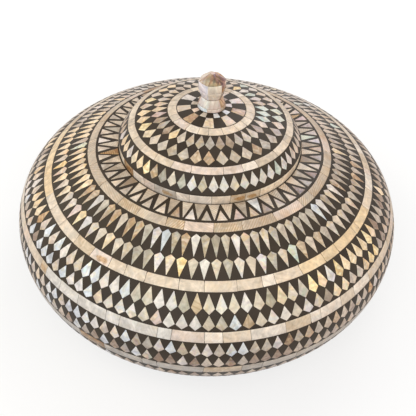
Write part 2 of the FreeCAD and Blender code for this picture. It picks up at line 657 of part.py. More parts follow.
def make_knob():
    """Six-sided wooden knob, lofted through its levels, with a shell facet on each side."""
    flat = "sizes.knob_flat"
    tall = "sizes.knob_height"
    levels = [
        ("foot", flat, "0"),
        ("ankle", f"{flat} * sizes.knob_ankle_share", f"{tall} * sizes.knob_ankle_height_share"),
        ("waist", f"{flat} * sizes.knob_waist_share", f"{tall} * sizes.knob_waist_height_share"),
        ("barrel_low", f"{flat} * sizes.knob_barrel_share", f"{tall} * sizes.knob_barrel_low_share"),
        ("barrel_high", f"{flat} * sizes.knob_barrel_share", f"{tall} * sizes.knob_barrel_high_share"),
        ("tip", f"{flat} * sizes.knob_tip_share", tall),
    ]
    base = "form.knob_base_height + sizes.glue_gap"
    half_turn = "180 / sizes.knob_sides"
    corner_turn = f"{half_turn} + sizes.knob_turn"
    sections = []
    for name, radius, height in levels:
        polygon = doc.addObject("Part::RegularPolygon", f"knob_{name}")
        polygon.setExpression("Polygon", "sizes.knob_sides")
        polygon.setExpression("Circumradius", f"{radius} / cos({half_turn})")
        polygon.setExpression("Placement.Base.z", f"{base} + {height}")
        polygon.setExpression("Placement.Rotation.Angle", corner_turn)
        sections.append(polygon)
    blank = doc.addObject("Part::Loft", "knob_blank")
    blank.Sections = sections
    blank.Solid = True
    blank.Ruled = True
    bore = doc.addObject("Part::Cylinder", "knob_bore")
    bore.setExpression("Radius", "sizes.screw_radius + sizes.screw_pilot_gap")
    bore.setExpression("Height", "form.screw_grip + sizes.screw_radius")
    bore.setExpression("Placement.Base.z", base)
    core = doc.addObject("Part::Cut", "knob_core")
    core.Base = blank
    core.Tool = bore
    core.Label = "knob_core"
    parts.append(core)

    plain = "sizes.knob_plate_joint"
    ankle = "sizes.knob_ankle_joint"
    hollow = "sizes.knob_hollow_joint"
    rings = [("knob_foot_plates", ankle, plain), ("knob_flare_plates", hollow, ankle),
             ("knob_neck_plates", plain, hollow), ("knob_barrel_plates", plain, plain),
             ("knob_crown_plates", plain, plain)]
    for (label, top_trim, foot_trim), lower, upper in zip(rings, levels, levels[1:]):
        knob_plates(label, base, lower, upper, top_trim, foot_trim)

    button = doc.addObject("Part::Prism", "knob_button")
    button.setExpression("Polygon", "sizes.knob_sides")
    button.setExpression("Circumradius", f"{flat} * sizes.knob_tip_share / cos({half_turn})")
    button.setExpression("Height", "sizes.knob_plate_thick")
    button.setExpression("Placement.Base.z", f"{base} + {tall} + sizes.glue_gap")
    button.setExpression("Placement.Rotation.Angle", corner_turn)
    button.Label = "knob_button"
    parts.append(button)


def knob_plates(label, base, lower, upper, top_trim, foot_trim):
    """Shell facets between two levels of the knob, trimmed at both ends."""
    _, low_flat, low = lower
    _, high_flat, high = upper
    run = derive(f"{label}_run", f"{low_flat} - {high_flat}")
    fall = derive(f"{label}_fall", f"{high} - {low}")
    slope = derive(f"{label}_slope", f"sqrt({run}^2 + {fall}^2)")
    tilt = derive(f"{label}_tilt", f"atan2({fall}; {run}) / 1 deg")
    flat = derive(f"{label}_flat", f"({low_flat} + {high_flat}) / 2")
    seat = (flat, f"{base} + ({low} + {high}) / 2", tilt)
    top = f"-{slope} / 2 + {top_trim}"
    foot = f"{slope} / 2 - {foot_trim}"
    halves = []
    for place in (top, foot):
        reach = f"({flat} + ({place}) * {run} / {slope})"
        halves.append(f"{reach} * tan(180 / sizes.knob_sides) - sizes.knob_plate_joint / 2")
    top_half, foot_half = halves
    outline = [(top, f"-({top_half})"), (foot, f"-({foot_half})"), (foot, foot_half), (top, top_half)]
    ring(label, seat, outline, "sizes.knob_sides", "sizes.knob_plate_thick", "sizes.knob_turn")


def make_fastening():
    """Screw and washer that hold the knob from inside the lid."""
    washer_top = "form.washer_seat_height - sizes.glue_gap"
    washer_foot = f"{washer_top} - sizes.washer_thick"
    turned("knob_washer", [
        ("form.screw_hole_radius", washer_foot), ("form.washer_radius", washer_foot),
        ("form.washer_radius", washer_top), ("form.screw_hole_radius", washer_top),
    ])
    head_top = f"{washer_foot} - sizes.glue_gap"
    head_foot = f"{head_top} - sizes.screw_head_height"
    point = "form.knob_base_height + form.screw_grip"
    turned("knob_screw", [
        ("0", head_foot), ("sizes.screw_head_radius - sizes.screw_head_edge", head_foot),
        ("sizes.screw_head_radius", f"{head_foot} + sizes.screw_head_edge"),
        ("sizes.screw_head_radius", head_top), ("sizes.screw_radius", head_top),
        ("sizes.screw_radius", f"{point} - sizes.screw_radius"), ("0", point),
    ])


def check_document():
    """Stop when an object failed or a shape is not sound."""
    for item in doc.Objects:
        if {"Invalid", "Error"} & set(item.State):
            raise RuntimeError(f"{item.Name}: {item.State}")
    for item in parts:
        if item.Shape.isNull() or not item.Shape.isValid() or not item.Shape.Solids:
            raise RuntimeError(f"{item.Label}: no sound shape")


def write_parts():
    os.makedirs("parts", exist_ok=True)
    for item in parts:
        item.Shape.exportStep(f"parts/{item.Label}.step")


fill_sizes()
make_core()
make_ground()
make_body_inlay()
make_lid()
make_lid_inlay()
make_knob()
make_fastening()
doc.recompute()
check_document()
write_parts()
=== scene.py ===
import itertools
import json
import math
import random

import bpy
import numpy as np
from mathutils import Matrix, Vector


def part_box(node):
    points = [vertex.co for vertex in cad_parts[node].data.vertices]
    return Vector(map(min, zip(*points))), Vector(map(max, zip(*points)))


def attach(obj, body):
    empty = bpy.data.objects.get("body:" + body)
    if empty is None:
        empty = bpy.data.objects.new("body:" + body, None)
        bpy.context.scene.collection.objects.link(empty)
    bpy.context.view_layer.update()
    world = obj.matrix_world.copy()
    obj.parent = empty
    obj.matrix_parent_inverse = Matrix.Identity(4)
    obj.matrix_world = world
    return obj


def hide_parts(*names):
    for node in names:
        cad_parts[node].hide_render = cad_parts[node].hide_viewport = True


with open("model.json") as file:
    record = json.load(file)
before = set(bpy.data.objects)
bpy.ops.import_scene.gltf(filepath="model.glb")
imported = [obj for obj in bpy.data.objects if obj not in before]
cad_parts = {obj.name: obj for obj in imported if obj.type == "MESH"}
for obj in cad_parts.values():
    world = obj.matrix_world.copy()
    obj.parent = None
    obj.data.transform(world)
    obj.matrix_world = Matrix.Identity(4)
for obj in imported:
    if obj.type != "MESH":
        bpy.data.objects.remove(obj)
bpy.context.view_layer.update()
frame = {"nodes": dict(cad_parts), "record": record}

# Round box inlaid with mother of pearl. Lengths are millimetres, and MM turns them
# into metres. Angles round the box run from +X towards +Y, and the front is at -Y.
# A tilt is the angle between a surface's outward normal and +Z.
MM = 0.001


def node_low(node):
    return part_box(node)[0] / MM


def node_high(node):
    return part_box(node)[1] / MM


# Section of the box.
EDGE_RADIUS = 50.8
CROWN_RADIUS = 263.2
SEAT_WIDTH = 10.6
SHELF_WIDTH = 18.4
MOUTH_EDGE = 2.0
RIM_HEIGHT = 8.0
SKIRT_HEIGHT = 11.3
SKIRT_WIDTH = 8.0
DOME_RISE = 13.8
GROUND_THICK = 1.5
TILE_THICK = 1.2
SCREW_HOLE = 2.2
KNOB_COLLAR_RADIUS = 9.4
KNOB_COLLAR_HEIGHT = 1.5

BODY_RADIUS = node_high("body_ground").x
EQUATOR = node_high("lower_bowl").z
SHELF = node_high("body_ground").z
BASE = node_low("lower_bowl").z
LID_RADIUS = node_high("lid_ground").x
KNOB_SEAT = node_high("lid_ground").z - KNOB_COLLAR_HEIGHT

HUB_RADIUS = BODY_RADIUS - EDGE_RADIUS
CROWN_OFFSET = math.sqrt((CROWN_RADIUS - EDGE_RADIUS) ** 2 - HUB_RADIUS ** 2)
CROWN_TILT = math.atan2(HUB_RADIUS, CROWN_OFFSET)
SHELF_RADIUS = LID_RADIUS + SHELF_WIDTH
SHELF_TILT = math.asin(SHELF_RADIUS / CROWN_RADIUS)
BASE_RADIUS = math.sqrt(CROWN_RADIUS ** 2 - (EQUATOR + CROWN_OFFSET - BASE) ** 2)
BASE_TILT = math.pi - math.asin(BASE_RADIUS / CROWN_RADIUS)
RIM_TOP = SHELF + RIM_HEIGHT
DOME_EDGE_RADIUS = LID_RADIUS - SKIRT_WIDTH
DOME_EDGE = RIM_TOP + SKIRT_HEIGHT
DOME_RADIUS = (DOME_EDGE_RADIUS ** 2 + DOME_RISE ** 2) / (2 * DOME_RISE)
DOME_CENTRE = DOME_EDGE + DOME_RISE - DOME_RADIUS
KNOB_SEAT_RADIUS = math.sqrt(DOME_RADIUS ** 2 - (KNOB_SEAT - DOME_CENTRE) ** 2)
DOME_TILT = math.asin(DOME_EDGE_RADIUS / DOME_RADIUS)
SKIRT_TILT = math.atan2(SKIRT_HEIGHT, SKIRT_WIDTH)

# The resin is poured round the pieces of shell and polished down, so its surface
# lies a little below theirs.
RESIN_DROP = 0.13
TILE_SUNK = 0.75
RESIN_LIFT = TILE_THICK - RESIN_DROP
TILE_FOOT = TILE_THICK - TILE_SUNK
TILE_BEVEL = 0.16
TILE_BEVEL_DROP = 0.07


class Arc:
    """Run of a section line round a centre, from one tilt to another."""

    def __init__(self, centre, radius, start, stop):
        self.centre, self.radius, self.start = centre, radius, start
        self.length = radius * (stop - start)

    def place(self, distance, lift):
        tilt = self.start + distance / self.radius
        reach = self.radius + lift
        return self.centre[0] + reach * np.sin(tilt), self.centre[1] + reach * np.cos(tilt)

    def locate(self, radius, height):
        across, up = radius - self.centre[0], height - self.centre[1]
        distance = (np.arctan2(across, up) - self.start) * self.radius
        return distance, np.hypot(across, up) - self.radius


class Line:
    """Straight run of a section line, from a point down a slope."""

    def __init__(self, start, tilt, length):
        self.start, self.length = start, length
        self.along, self.out = math.cos(tilt), math.sin(tilt)

    def place(self, distance, lift):
        return (self.start[0] + distance * self.along + lift * self.out,
                self.start[1] - distance * self.out + lift * self.along)

    def locate(self, radius, height):
        across, up = radius - self.start[0], height - self.start[1]
        return across * self.along - up * self.out, across * self.out + up * self.along


class Meridian:
    """Section line of a body's turned surface, followed by the distance from its upper end."""

    def __init__(self, body, *runs):
        self.body, self.runs = body, runs
        self.starts = [sum(run.length for run in runs[:number]) for number in range(len(runs))]
        self.length = sum(run.length for run in runs)

    def place(self, distance, lift):
        """Radius and height at a distance, lifted off the surface."""
        point = self.runs[0].place(distance, lift)
        for run, start in zip(self.runs[1:], self.starts[1:]):
            point = np.where(distance >= start, run.place(distance - start, lift), point)
        return point

    def span(self, node):
        """First and last distance that a node's pieces cover, each point taken to the nearest run."""
        points = np.array([vertex.co for vertex in frame["nodes"][node].data.vertices]) / MM
        found, misses = [], []
        for run, start in zip(self.runs, self.starts):
            distance, off = run.locate(np.hypot(points[:, 0], points[:, 1]), points[:, 2])
            found.append(start + distance)
            misses.append(np.hypot(off, distance - np.clip(distance, 0, run.length)))
        nearest = np.choose(np.argmin(misses, axis=0), found)
        return nearest.min(), nearest.max()


BODY = Meridian(
    "body",
    Arc((0.0, EQUATOR - CROWN_OFFSET), CROWN_RADIUS, SHELF_TILT, CROWN_TILT),
    Arc((HUB_RADIUS, EQUATOR), EDGE_RADIUS, CROWN_TILT, math.pi - CROWN_TILT),
    Arc((0.0, EQUATOR + CROWN_OFFSET), CROWN_RADIUS, math.pi - CROWN_TILT, BASE_TILT),
)
FLAT_SHELF = Meridian("body", Line((LID_RADIUS, SHELF), 0.0, SHELF_WIDTH))
DOME = Meridian(
    "lid", Arc((0.0, DOME_CENTRE), DOME_RADIUS, math.asin(KNOB_SEAT_RADIUS / DOME_RADIUS), DOME_TILT))
SKIRT = Meridian(
    "lid", Line((DOME_EDGE_RADIUS, DOME_EDGE), SKIRT_TILT, math.hypot(SKIRT_WIDTH, SKIRT_HEIGHT)))
RIM = Meridian("lid", Line((LID_RADIUS, RIM_TOP), math.pi / 2, RIM_HEIGHT))


def linear(colour):
    """Linear light of a colour given as 0 to 255 on a screen."""
    share = np.array(colour) / 255
    return np.where(share <= 0.04045, share / 12.92, ((share + 0.055) / 1.055) ** 2.4)


# Kinds of shell: two tones that run into each other, and how strongly growth lines show.
SHELL = {
    "cream": ((213, 199, 180), (194, 178, 160), 0.3),
    "white": ((219, 211, 201), (207, 196, 192), 0.15),
    "grey": ((193, 182, 166), (168, 153, 134), 0.35),
    "tan": ((203, 183, 156), (170, 141, 108), 0.6),
    "peach": ((238, 218, 186), (218, 193, 153), 0.3),
    "gold": ((246, 231, 186), (220, 186, 128), 0.5),
    "amber": ((212, 178, 126), (138, 97, 56), 1.0),
    "blush": ((215, 195, 184), (203, 175, 161), 0.35),
    "mint": ((212, 215, 199), (186, 202, 190), 0.3),
    "silver": ((198, 201, 204), (222, 224, 224), 0.2),
    "umber": ((178, 151, 114), (112, 83, 54), 1.0),
    "brown": ((176, 134, 97), (98, 62, 38), 1.0),
    "dusk": ((168, 151, 130), (142, 120, 97), 0.4),
    "pearl": ((238, 231, 233), (226, 215, 222), 0.15),
    "ivory": ((236, 225, 208), (224, 208, 190), 0.25),
}
SHELL_WEIGHTS = {
    "cream": 64, "white": 10, "grey": 16, "tan": 6, "peach": 3, "gold": 1, "amber": 1, "blush": 4, "mint": 1,
    "silver": 1, "umber": 0.5, "dusk": 0.5,
}
# Where one kind of shell gathers in a zone: kind, middle direction in degrees, spread, weight.
# Besides the shell's own colour, these gatherings paint light and shade: warm kinds on the left and
# front-right paint warm light, silver and white on the front-left paint a cool sheen, and grey and dusk
# kinds paint shade on the right, on the front of the lid's top and under the box.
SHELL_DRIFTS = {
    # Gold, peach and white on the left paint warm light; tan and grey on the front paint shade.
    "dome": [
        ("gold", 190, 32, 45), ("peach", 190, 35, 90), ("white", 185, 30, 60), ("mint", 15, 35, 70),
        ("white", 25, 45, 90), ("silver", 30, 30, 25), ("tan", 265, 60, 70), ("grey", 270, 70, 120),
    ],
    # Gold and peach on the left paint warm light; dusk and grey on the front paint shade.
    "cap": [
        ("gold", 185, 30, 90), ("peach", 180, 26, 240), ("dusk", 265, 60, 200), ("grey", 280, 60, 160),
        ("white", 25, 35, 90), ("mint", 15, 30, 70),
    ],
    "lid_top_wedges": [
        ("gold", 190, 12, 90), ("gold", 265, 10, 90), ("tan", 345, 30, 90), ("tan", 225, 20, 60),
    ],
    "lid_top_squares": [("silver", 290, 40, 90), ("grey", 240, 60, 60)],
    # Gold and peach on the left and front-right paint warm light; grey on the right paints shade.
    "skirt": [
        ("white", 250, 70, 70), ("gold", 200, 22, 110), ("peach", 188, 40, 160), ("gold", 315, 10, 30),
        ("peach", 318, 24, 110), ("grey", 355, 30, 50),
    ],
    "shelf": [("grey", 320, 40, 60), ("dusk", 318, 25, 50)],
    # Peach and gold on the left paint warm light; grey on the right paints shade.
    "crest": [
        ("peach", 190, 35, 90), ("gold", 195, 20, 15), ("tan", 235, 30, 140), ("grey", 250, 50, 110),
        ("amber", 246, 10, 12), ("grey", 352, 35, 80),
    ],
    # Gold, peach and white on the left paint warm light; grey on the right paints shade.
    "shoulder": [
        ("gold", 198, 20, 50), ("peach", 190, 35, 150), ("white", 200, 35, 60), ("tan", 243, 15, 70),
        ("amber", 248, 10, 12), ("blush", 222, 14, 14), ("white", 290, 30, 25), ("grey", 352, 35, 80),
    ],
    # Peach on the left and gold and peach on the front-right paint warm light, silver and white on the
    # front-left paint a cool sheen, and grey and dusk on the right paint shade.
    "flank": [
        ("peach", 188, 22, 80), ("white", 240, 30, 50), ("silver", 230, 22, 110), ("blush", 245, 20, 14),
        ("white", 275, 30, 140), ("gold", 312, 18, 90), ("peach", 316, 24, 160), ("grey", 358, 28, 130),
        ("dusk", 0, 28, 260),
    ],
    # Silver and white on the front-left paint a cool sheen; the greyer pieces are partly the shell's own
    # colour and partly painted shade under the box.
    "belly": [
        ("silver", 240, 30, 200), ("white", 245, 30, 90), ("grey", 265, 60, 110), ("tan", 318, 30, 70),
        ("amber", 320, 22, 20), ("umber", 285, 40, 16),
    ],
    # Grey and dusk all round are partly the shell's own colour and partly painted shade under the box; silver
    # on the front-left paints a cool sheen.
    "keel": [
        ("grey", 270, 120, 140), ("dusk", 275, 50, 150), ("silver", 238, 28, 160), ("umber", 275, 50, 14),
    ],
}
BAND_SHELL = {
    "cream": ((219, 204, 185), (209, 191, 169)),
    "ivory": ((229, 218, 204), (221, 206, 191)),
    "sand": ((209, 191, 167), (190, 167, 138)),
    "blush": ((218, 202, 190), (211, 190, 171)),
    "silver": ((196, 188, 178), (176, 165, 152)),
    "bark": ((188, 156, 118), (134, 97, 62)),
    "pale": ((250, 236, 214), (242, 224, 200)),
    "oat": ((202, 187, 168), (190, 172, 152)),
    "honey": ((226, 203, 168), (217, 189, 150)),
    "frost": ((215, 209, 201), (204, 197, 188)),
}
BAND_WEIGHTS = {"cream": 54, "ivory": 26, "sand": 6, "blush": 8}
# The lid's rim is mostly of the lightest ivory kind: partly its own pale shell and partly painted light on
# its upright face, which the lid's top and the shelf shade.
RIM_WEIGHTS = {"cream": 14, "ivory": 80, "blush": 8}
STRIPED_WEIGHTS = {"oat": 70, "sand": 14, "blush": 8}
LID_WEIGHTS = {"cream": 60, "ivory": 4, "oat": 24, "blush": 10}
# Lower bands are mostly of darker silver, sand and bark: partly the shell's own colour and partly painted
# shade under the box.
LOW_WEIGHTS = {"sand": 14, "silver": 60, "bark": 6}
# Segments that stand out in a band: direction in degrees, kind, strength of the brown eye.
BAND_MARKS = {
    "band_lid_rim": [
        # The pale segments on the rim's right side paint light.
        (214, "bark", 1.0), (241, "silver", 1.0), (285, "sand", 1.0), (296, "sand", 1.0), (306, "pale", 0.3),
        (326, "pale", 0.2), (60, "sand", 0.8), (120, "silver", 0.7), (160, "bark", 0.8),
    ],
    "band_lid_shoulder": [(268, "blush", 0.0)],
    "band_shoulder": [(234, "blush", 0.9), (95, "sand", 0.7)],
    "band_flank": [(221, "sand", 0.7), (20, "sand", 0.6)],
    "band_mouth": [(130, "bark", 0.6)],
}
# Runs of one kind in a band: first and last direction in degrees, kind. The runs paint light: pale runs on
# the lid's rim at the left and right, warm honey runs on the shoulder band at the left and front-right, and a
# cool frost run on the flank band at the front-left.
BAND_RUNS = {
    "band_lid_rim": [(178, 207, "pale"), (310, 382, "pale")],
    "band_shoulder": [(165, 206, "honey"), (304, 334, "honey")],
    "band_flank": [(220, 262, "frost")],
}
# How far the light of single pieces differs, how much of that is warmth, and the share of the second tone.
TONE_SPREAD = 0.08
WARM_SHARE = 0.25
SECOND_SHARE = (0.3, 1.0)


def stray(rng, reach):
    """Random amount up to a reach on either side."""
    return rng.uniform(-reach, reach)


def pick(rng, weights):
    return rng.choices(list(weights), list(weights.values()))[0]


def shell_kind(rng, zone, angle):
    """Kind of shell for a piece in a zone and a direction."""
    weights = dict(SHELL_WEIGHTS)
    for kind, middle, spread, weight in SHELL_DRIFTS[zone]:
        apart = (math.degrees(angle) - middle + 180) % 360 - 180
        weights[kind] += weight * math.exp(-(apart / spread) ** 2)
    return pick(rng, weights)


def vary(rng, tones, spread, play):
    """Two tones, a little lighter or darker and warmer or cooler.

    Their fourth channels are the shares of the play of colour and of the second tone.
    """
    light = 1 + stray(rng, spread)
    warm = stray(rng, spread) * WARM_SHARE
    shares = (rng.random() * play, rng.uniform(*SECOND_SHARE))
    gain = light * np.array([1 + warm, 1, 1 - warm])
    return [(*linear(tone) * gain, share) for tone, share in zip(tones, shares)]


def shell_tones(rng, kind, spread=TONE_SPREAD, play=1.0):
    """Two tones of a piece of one kind, and the contrast of its growth lines."""
    *tones, lines = SHELL[kind]
    return vary(rng, tones, spread, play), lines


def add_object(name, data):
    item = bpy.data.objects.new(name, data)
    bpy.context.scene.collection.objects.link(item)
    return item


def new_mesh(name, points, faces):
    mesh = bpy.data.meshes.new(name)
    mesh.from_pydata((np.array(points) * MM).tolist(), [], faces)
    return mesh


def grid_faces(index):
    """Faces between the neighbours in a grid of points' numbers."""
    corners = (index[:-1, :-1], index[1:, :-1], index[1:, 1:], index[:-1, 1:])
    return np.stack(corners, axis=-1).reshape(-1, 4).tolist()


def add_layer(mesh, name, rows):
    """Attribute of a mesh's points, from rows of four for a colour or of three for a vector."""
    kind, field = ("FLOAT_COLOR", "color") if rows.shape[1] == 4 else ("FLOAT_VECTOR", "vector")
    mesh.attributes.new(name, kind, "POINT").data.foreach_set(field, rows.astype(np.float32).ravel())


# A bevel leaves at least this share of a piece's width.
NARROWEST = 0.25
TINY = 1e-6
# Edges sharper than this, in degrees, stay crisp.
SHARP = 25
RESIN_SHARP = 40
# The figure of each piece starts anywhere in a square of this width.
FIGURE_SPAN = 400


class Pieces:
    """Many small pieces of shell, gathered for one mesh.

    Every piece is a grid between a left and a right edge: a top with a bevel,
    side walls and a foot sunk in the resin.
    """

    def __init__(self):
        self.points, self.faces, self.total = [], [], 0
        self.layers = {"tint": [], "second": [], "figure": [], "eye": []}

    def add(self, surface, left, right, columns, tones, figure, crown=0.0, foot=TILE_FOOT, bevel=TILE_BEVEL,
            drop=TILE_BEVEL_DROP, eye=(0.0, 0.0, 0.0)):
        """Add a piece. left and right hold (along, across) points; surface places them in space.

        tones are its two colours, and eye is the place of a brown eye in the shell, and its strength.
        """
        share = np.linspace(0, 1, columns + 1)[None, :, None]
        grid = np.array(left)[:, None, :] * (1 - share) + np.array(right)[:, None, :] * share
        index = np.arange(grid.size // 2).reshape(grid.shape[:2])
        rim = np.concatenate([index[0], index[1:, -1], index[-1, -2::-1], index[-2:0:-1, 0]])
        along, across = (np.linspace(-1, 1, count) for count in index.shape)
        swell = crown * np.outer(1 - along ** 2, 1 - across ** 2)
        edge = grid.reshape(-1, 2)[rim]
        flat = np.concatenate([self.inset(grid, bevel).reshape(-1, 2), edge, edge])
        lift = np.concatenate([TILE_THICK + swell.ravel(), np.repeat([TILE_THICK - drop, foot], len(rim))])
        self.points.append(surface(flat[:, 0], flat[:, 1], lift))
        self.layers["figure"].append(figure(flat[:, 0], flat[:, 1]))
        self.layers["eye"].append(np.column_stack([flat - np.array(eye[:2]), np.full(len(flat), eye[2])]))
        for layer, tone in zip(("tint", "second"), tones):
            self.layers[layer].append(np.tile(tone, (len(flat), 1)))
        self.faces += self.piece_faces(index + self.total, rim + self.total)
        self.total += len(flat)

    @staticmethod
    def inset(grid, bevel):
        """Grid drawn in from its edges by the bevel."""
        middle = grid.mean(axis=1, keepdims=True)
        half = np.linalg.norm(grid[:, -1:] - grid[:, :1], axis=2, keepdims=True) / 2
        narrow = np.clip(1 - bevel / np.maximum(half, TINY), NARROWEST, 1)
        inner = middle + (grid - middle) * narrow
        length = np.linalg.norm(inner[-1] - inner[0], axis=1).mean()
        step = bevel / length
        inner[0] += (inner[-1] - inner[0]) * step
        inner[-1] += (inner[0] - inner[-1]) * step
        return inner

    @staticmethod
    def piece_faces(index, rim):
        """Faces of a piece's top, bevel, walls and foot, from the numbers of its top's points."""
        edge = index[-1, -1] + 1 + np.arange(len(rim))
        foot = edge + len(rim)
        walls = np.pad(np.column_stack([rim, edge, foot]), ((0, 1), (0, 0)), "wrap")
        return grid_faces(index) + grid_faces(walls) + [foot.tolist()]

    def build(self, name, material, body, slot, *nodes):
        mesh = new_mesh(name, np.concatenate(self.points), self.faces)
        for layer, rows in self.layers.items():
            add_layer(mesh, layer, np.concatenate(rows))
        finish_piece(name, mesh, material, body, slot, *nodes)


def finish_piece(name, mesh, material, body, slot, *nodes, sharp=SHARP):
    """Object from a mesh, on its body, in place of the nodes that it stands for."""
    mesh.shade_smooth()
    mesh.set_sharp_from_angle(angle=math.radians(sharp))
    mesh.materials.append(material)
    piece = add_object(name, mesh)
    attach(piece, body)
    if nodes:
        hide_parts(*nodes)
    return piece


def on_meridian(meridian, distance, angle, lean=(0.0, 0.0)):
    """Surface that puts (along, across) points round a turned form."""

    def surface(along, across, lift):
        lift = lift + np.where(lift > TILE_FOOT, along * lean[0] + across * lean[1], 0.0)
        radius, height = meridian.place(distance + along, lift)
        level, _ = meridian.place(distance + along, TILE_THICK)
        turn = angle + across / level
        return np.stack([radius * np.cos(turn), radius * np.sin(turn), height], axis=1)

    return surface


def grain(rng, contrast, turn=None):
    """Coordinates of the figure in a piece: along and across its growth lines, and their contrast."""
    turn = rng.uniform(0, math.pi) if turn is None else turn
    start = [rng.uniform(0, FIGURE_SPAN) for _ in range(2)]

    def figure(along, across):
        first = along * math.cos(turn) + across * math.sin(turn) + start[0]
        second = across * math.cos(turn) - along * math.sin(turn) + start[1]
        return np.stack([first, second, np.full(len(along), contrast)], axis=1)

    return figure


def pitch(meridian, distance, count):
    """Width that each of a number of pieces has at a distance."""
    return 2 * float(meridian.place(distance, 0.0)[0]) * math.tan(math.pi / count)


# Half the width of a sharp end.
TIP = 0.14
# How unevenly kites are cut: shares of the pitch, of the width or of the length.
KITE_SLIP = 0.02
KITE_WIDTH = (1.02, 1.16)
KITE_SIDE = (0.97, 1.0)
KITE_ROOM = 0.478
KITE_SWAY = 0.02
KITE_TRIM = 0.035
KITE_BEND = 0.09
KITE_WEAR = 0.1
# Slopes at which kites are set, along and across, and the strength of their growth lines.
KITE_LEAN = (0.006, 0.009)
KITE_LINES = (0.5, 1.2)
KITE_CELLS = 8
KITE_LEAST_CELLS = 2
KITE_COLUMNS = 2


def kite_row(name, meridian, start, stop, count, width_share, wide_share, zone, seed, *nodes):
    """Ring of kites between two distances, each cut and set by hand."""
    rng = random.Random(seed)
    pieces = Pieces()
    middle, length = (start + stop) / 2, stop - start
    width = width_share * pitch(meridian, middle, count)
    widest = KITE_ROOM * pitch(meridian, start + wide_share * length, count)
    wide = length * (wide_share - 0.5)
    head = max(KITE_LEAST_CELLS, round(KITE_CELLS * wide_share))
    tail = max(KITE_LEAST_CELLS, KITE_CELLS - head)
    for number in range(count):
        angle = math.tau * (number + stray(rng, KITE_SLIP)) / count
        half = min(width / 2 * rng.uniform(*KITE_WIDTH), widest)
        sway = stray(rng, KITE_SWAY) * length
        upper = -length / 2 + rng.uniform(0, KITE_TRIM) * length
        lower = length / 2 - rng.uniform(0, KITE_TRIM) * length
        upper_sway = stray(rng, KITE_BEND) * half - sway
        edges = []
        for side in (-1, 1):
            corner = (wide + stray(rng, KITE_TRIM) * length, side * half * rng.uniform(*KITE_SIDE))
            edges.append(np.concatenate([
                np.linspace((upper, upper_sway + side * TIP), corner, head, endpoint=False),
                np.linspace(corner, (lower, sway + side * TIP), tail + 1)]))
        for edge in edges:
            # Wear draws the corner in towards the middle of its neighbours.
            between = (edge[head - 1] + edge[head + 1]) / 2
            edge[head] += (between - edge[head]) * rng.uniform(0.0, KITE_WEAR)
        tones, lines = shell_tones(rng, shell_kind(rng, zone, angle))
        lean = [rng.gauss(0, slope) for slope in KITE_LEAN]
        surface = on_meridian(meridian, middle, angle, lean)
        pieces.add(surface, *edges, KITE_COLUMNS, tones, grain(rng, lines * rng.uniform(*KITE_LINES)))
    pieces.build(f"{name}_inlay", shell_material, meridian.body, "shell_inlay", *nodes)


TEETH = 50
# How unevenly teeth are cut and set, as for kites.
TOOTH_SLIP = 0.04
TOOTH_WIDTH = (0.9, 1.05)
TOOTH_REACH = (0.93, 1.0)
TOOTH_SWAY = 0.1
TOOTH_LEAN = (0.003, 0.006)
TOOTH_SPREAD = 0.1
TOOTH_PLAY = 0.6
TOOTH_CELLS = 6
TOOTH_COLUMNS = 4


def tooth_row(node, base, tip, width_share, turn, lined, material, seed):
    """Ring of triangles on the shelf, from the distance of their base to that of their tip."""
    rng = random.Random(seed)
    pieces = Pieces()
    width = width_share * pitch(FLAT_SHELF, base, TEETH)
    for number in range(TEETH):
        angle = math.tau * (number + turn + stray(rng, TOOTH_SLIP)) / TEETH
        half = width / 2 * rng.uniform(*TOOTH_WIDTH)
        reach = (tip - base) * rng.uniform(*TOOTH_REACH)
        sway = stray(rng, TOOTH_SWAY) * half
        edges = []
        for side in (-1, 1):
            ends = (0.0, side * half), (reach, sway + side * TIP)
            edges.append(np.linspace(*sorted(ends), TOOTH_CELLS + 1))
        tones, lines = shell_tones(rng, shell_kind(rng, "shelf", angle), TOOTH_SPREAD, TOOTH_PLAY)
        lean = [rng.gauss(0, slope) for slope in TOOTH_LEAN]
        surface = on_meridian(FLAT_SHELF, base, angle, lean)
        pieces.add(surface, *edges, TOOTH_COLUMNS, tones, grain(rng, max(lines, lined * rng.random())))
    pieces.build(f"{node}_inlay", material, FLAT_SHELF.body, "shell_inlay", node)


# How unevenly bands are cut: the joints' places as a share of a segment, the rest in millimetres.
BAND_SHIFT = 0.34
BAND_SKEW = 0.35
BAND_GAP = (0.16, 0.3)
BAND_SLIP = 0.12
BAND_CHIPS = (0, 0, 0, 0, 0.35, 0.6)
# Where a brown eye may lie, as a share of the band's width along it and in millimetres across it.
EYE_ALONG = 0.12
EYE_ACROSS = 2
# Slope, spread and play of a band's tones, and strength and direction of its growth lines.
BAND_LEAN = 0.003
BAND_SPREAD = 0.04
BAND_PLAY = 0.8
BAND_LINES = (0.2, 1.3)
BAND_TURN = (0.9, 0.3)
BAND_CELLS = 4
BAND_COLUMN = 2.2
BAND_LEAST_COLUMNS = 4


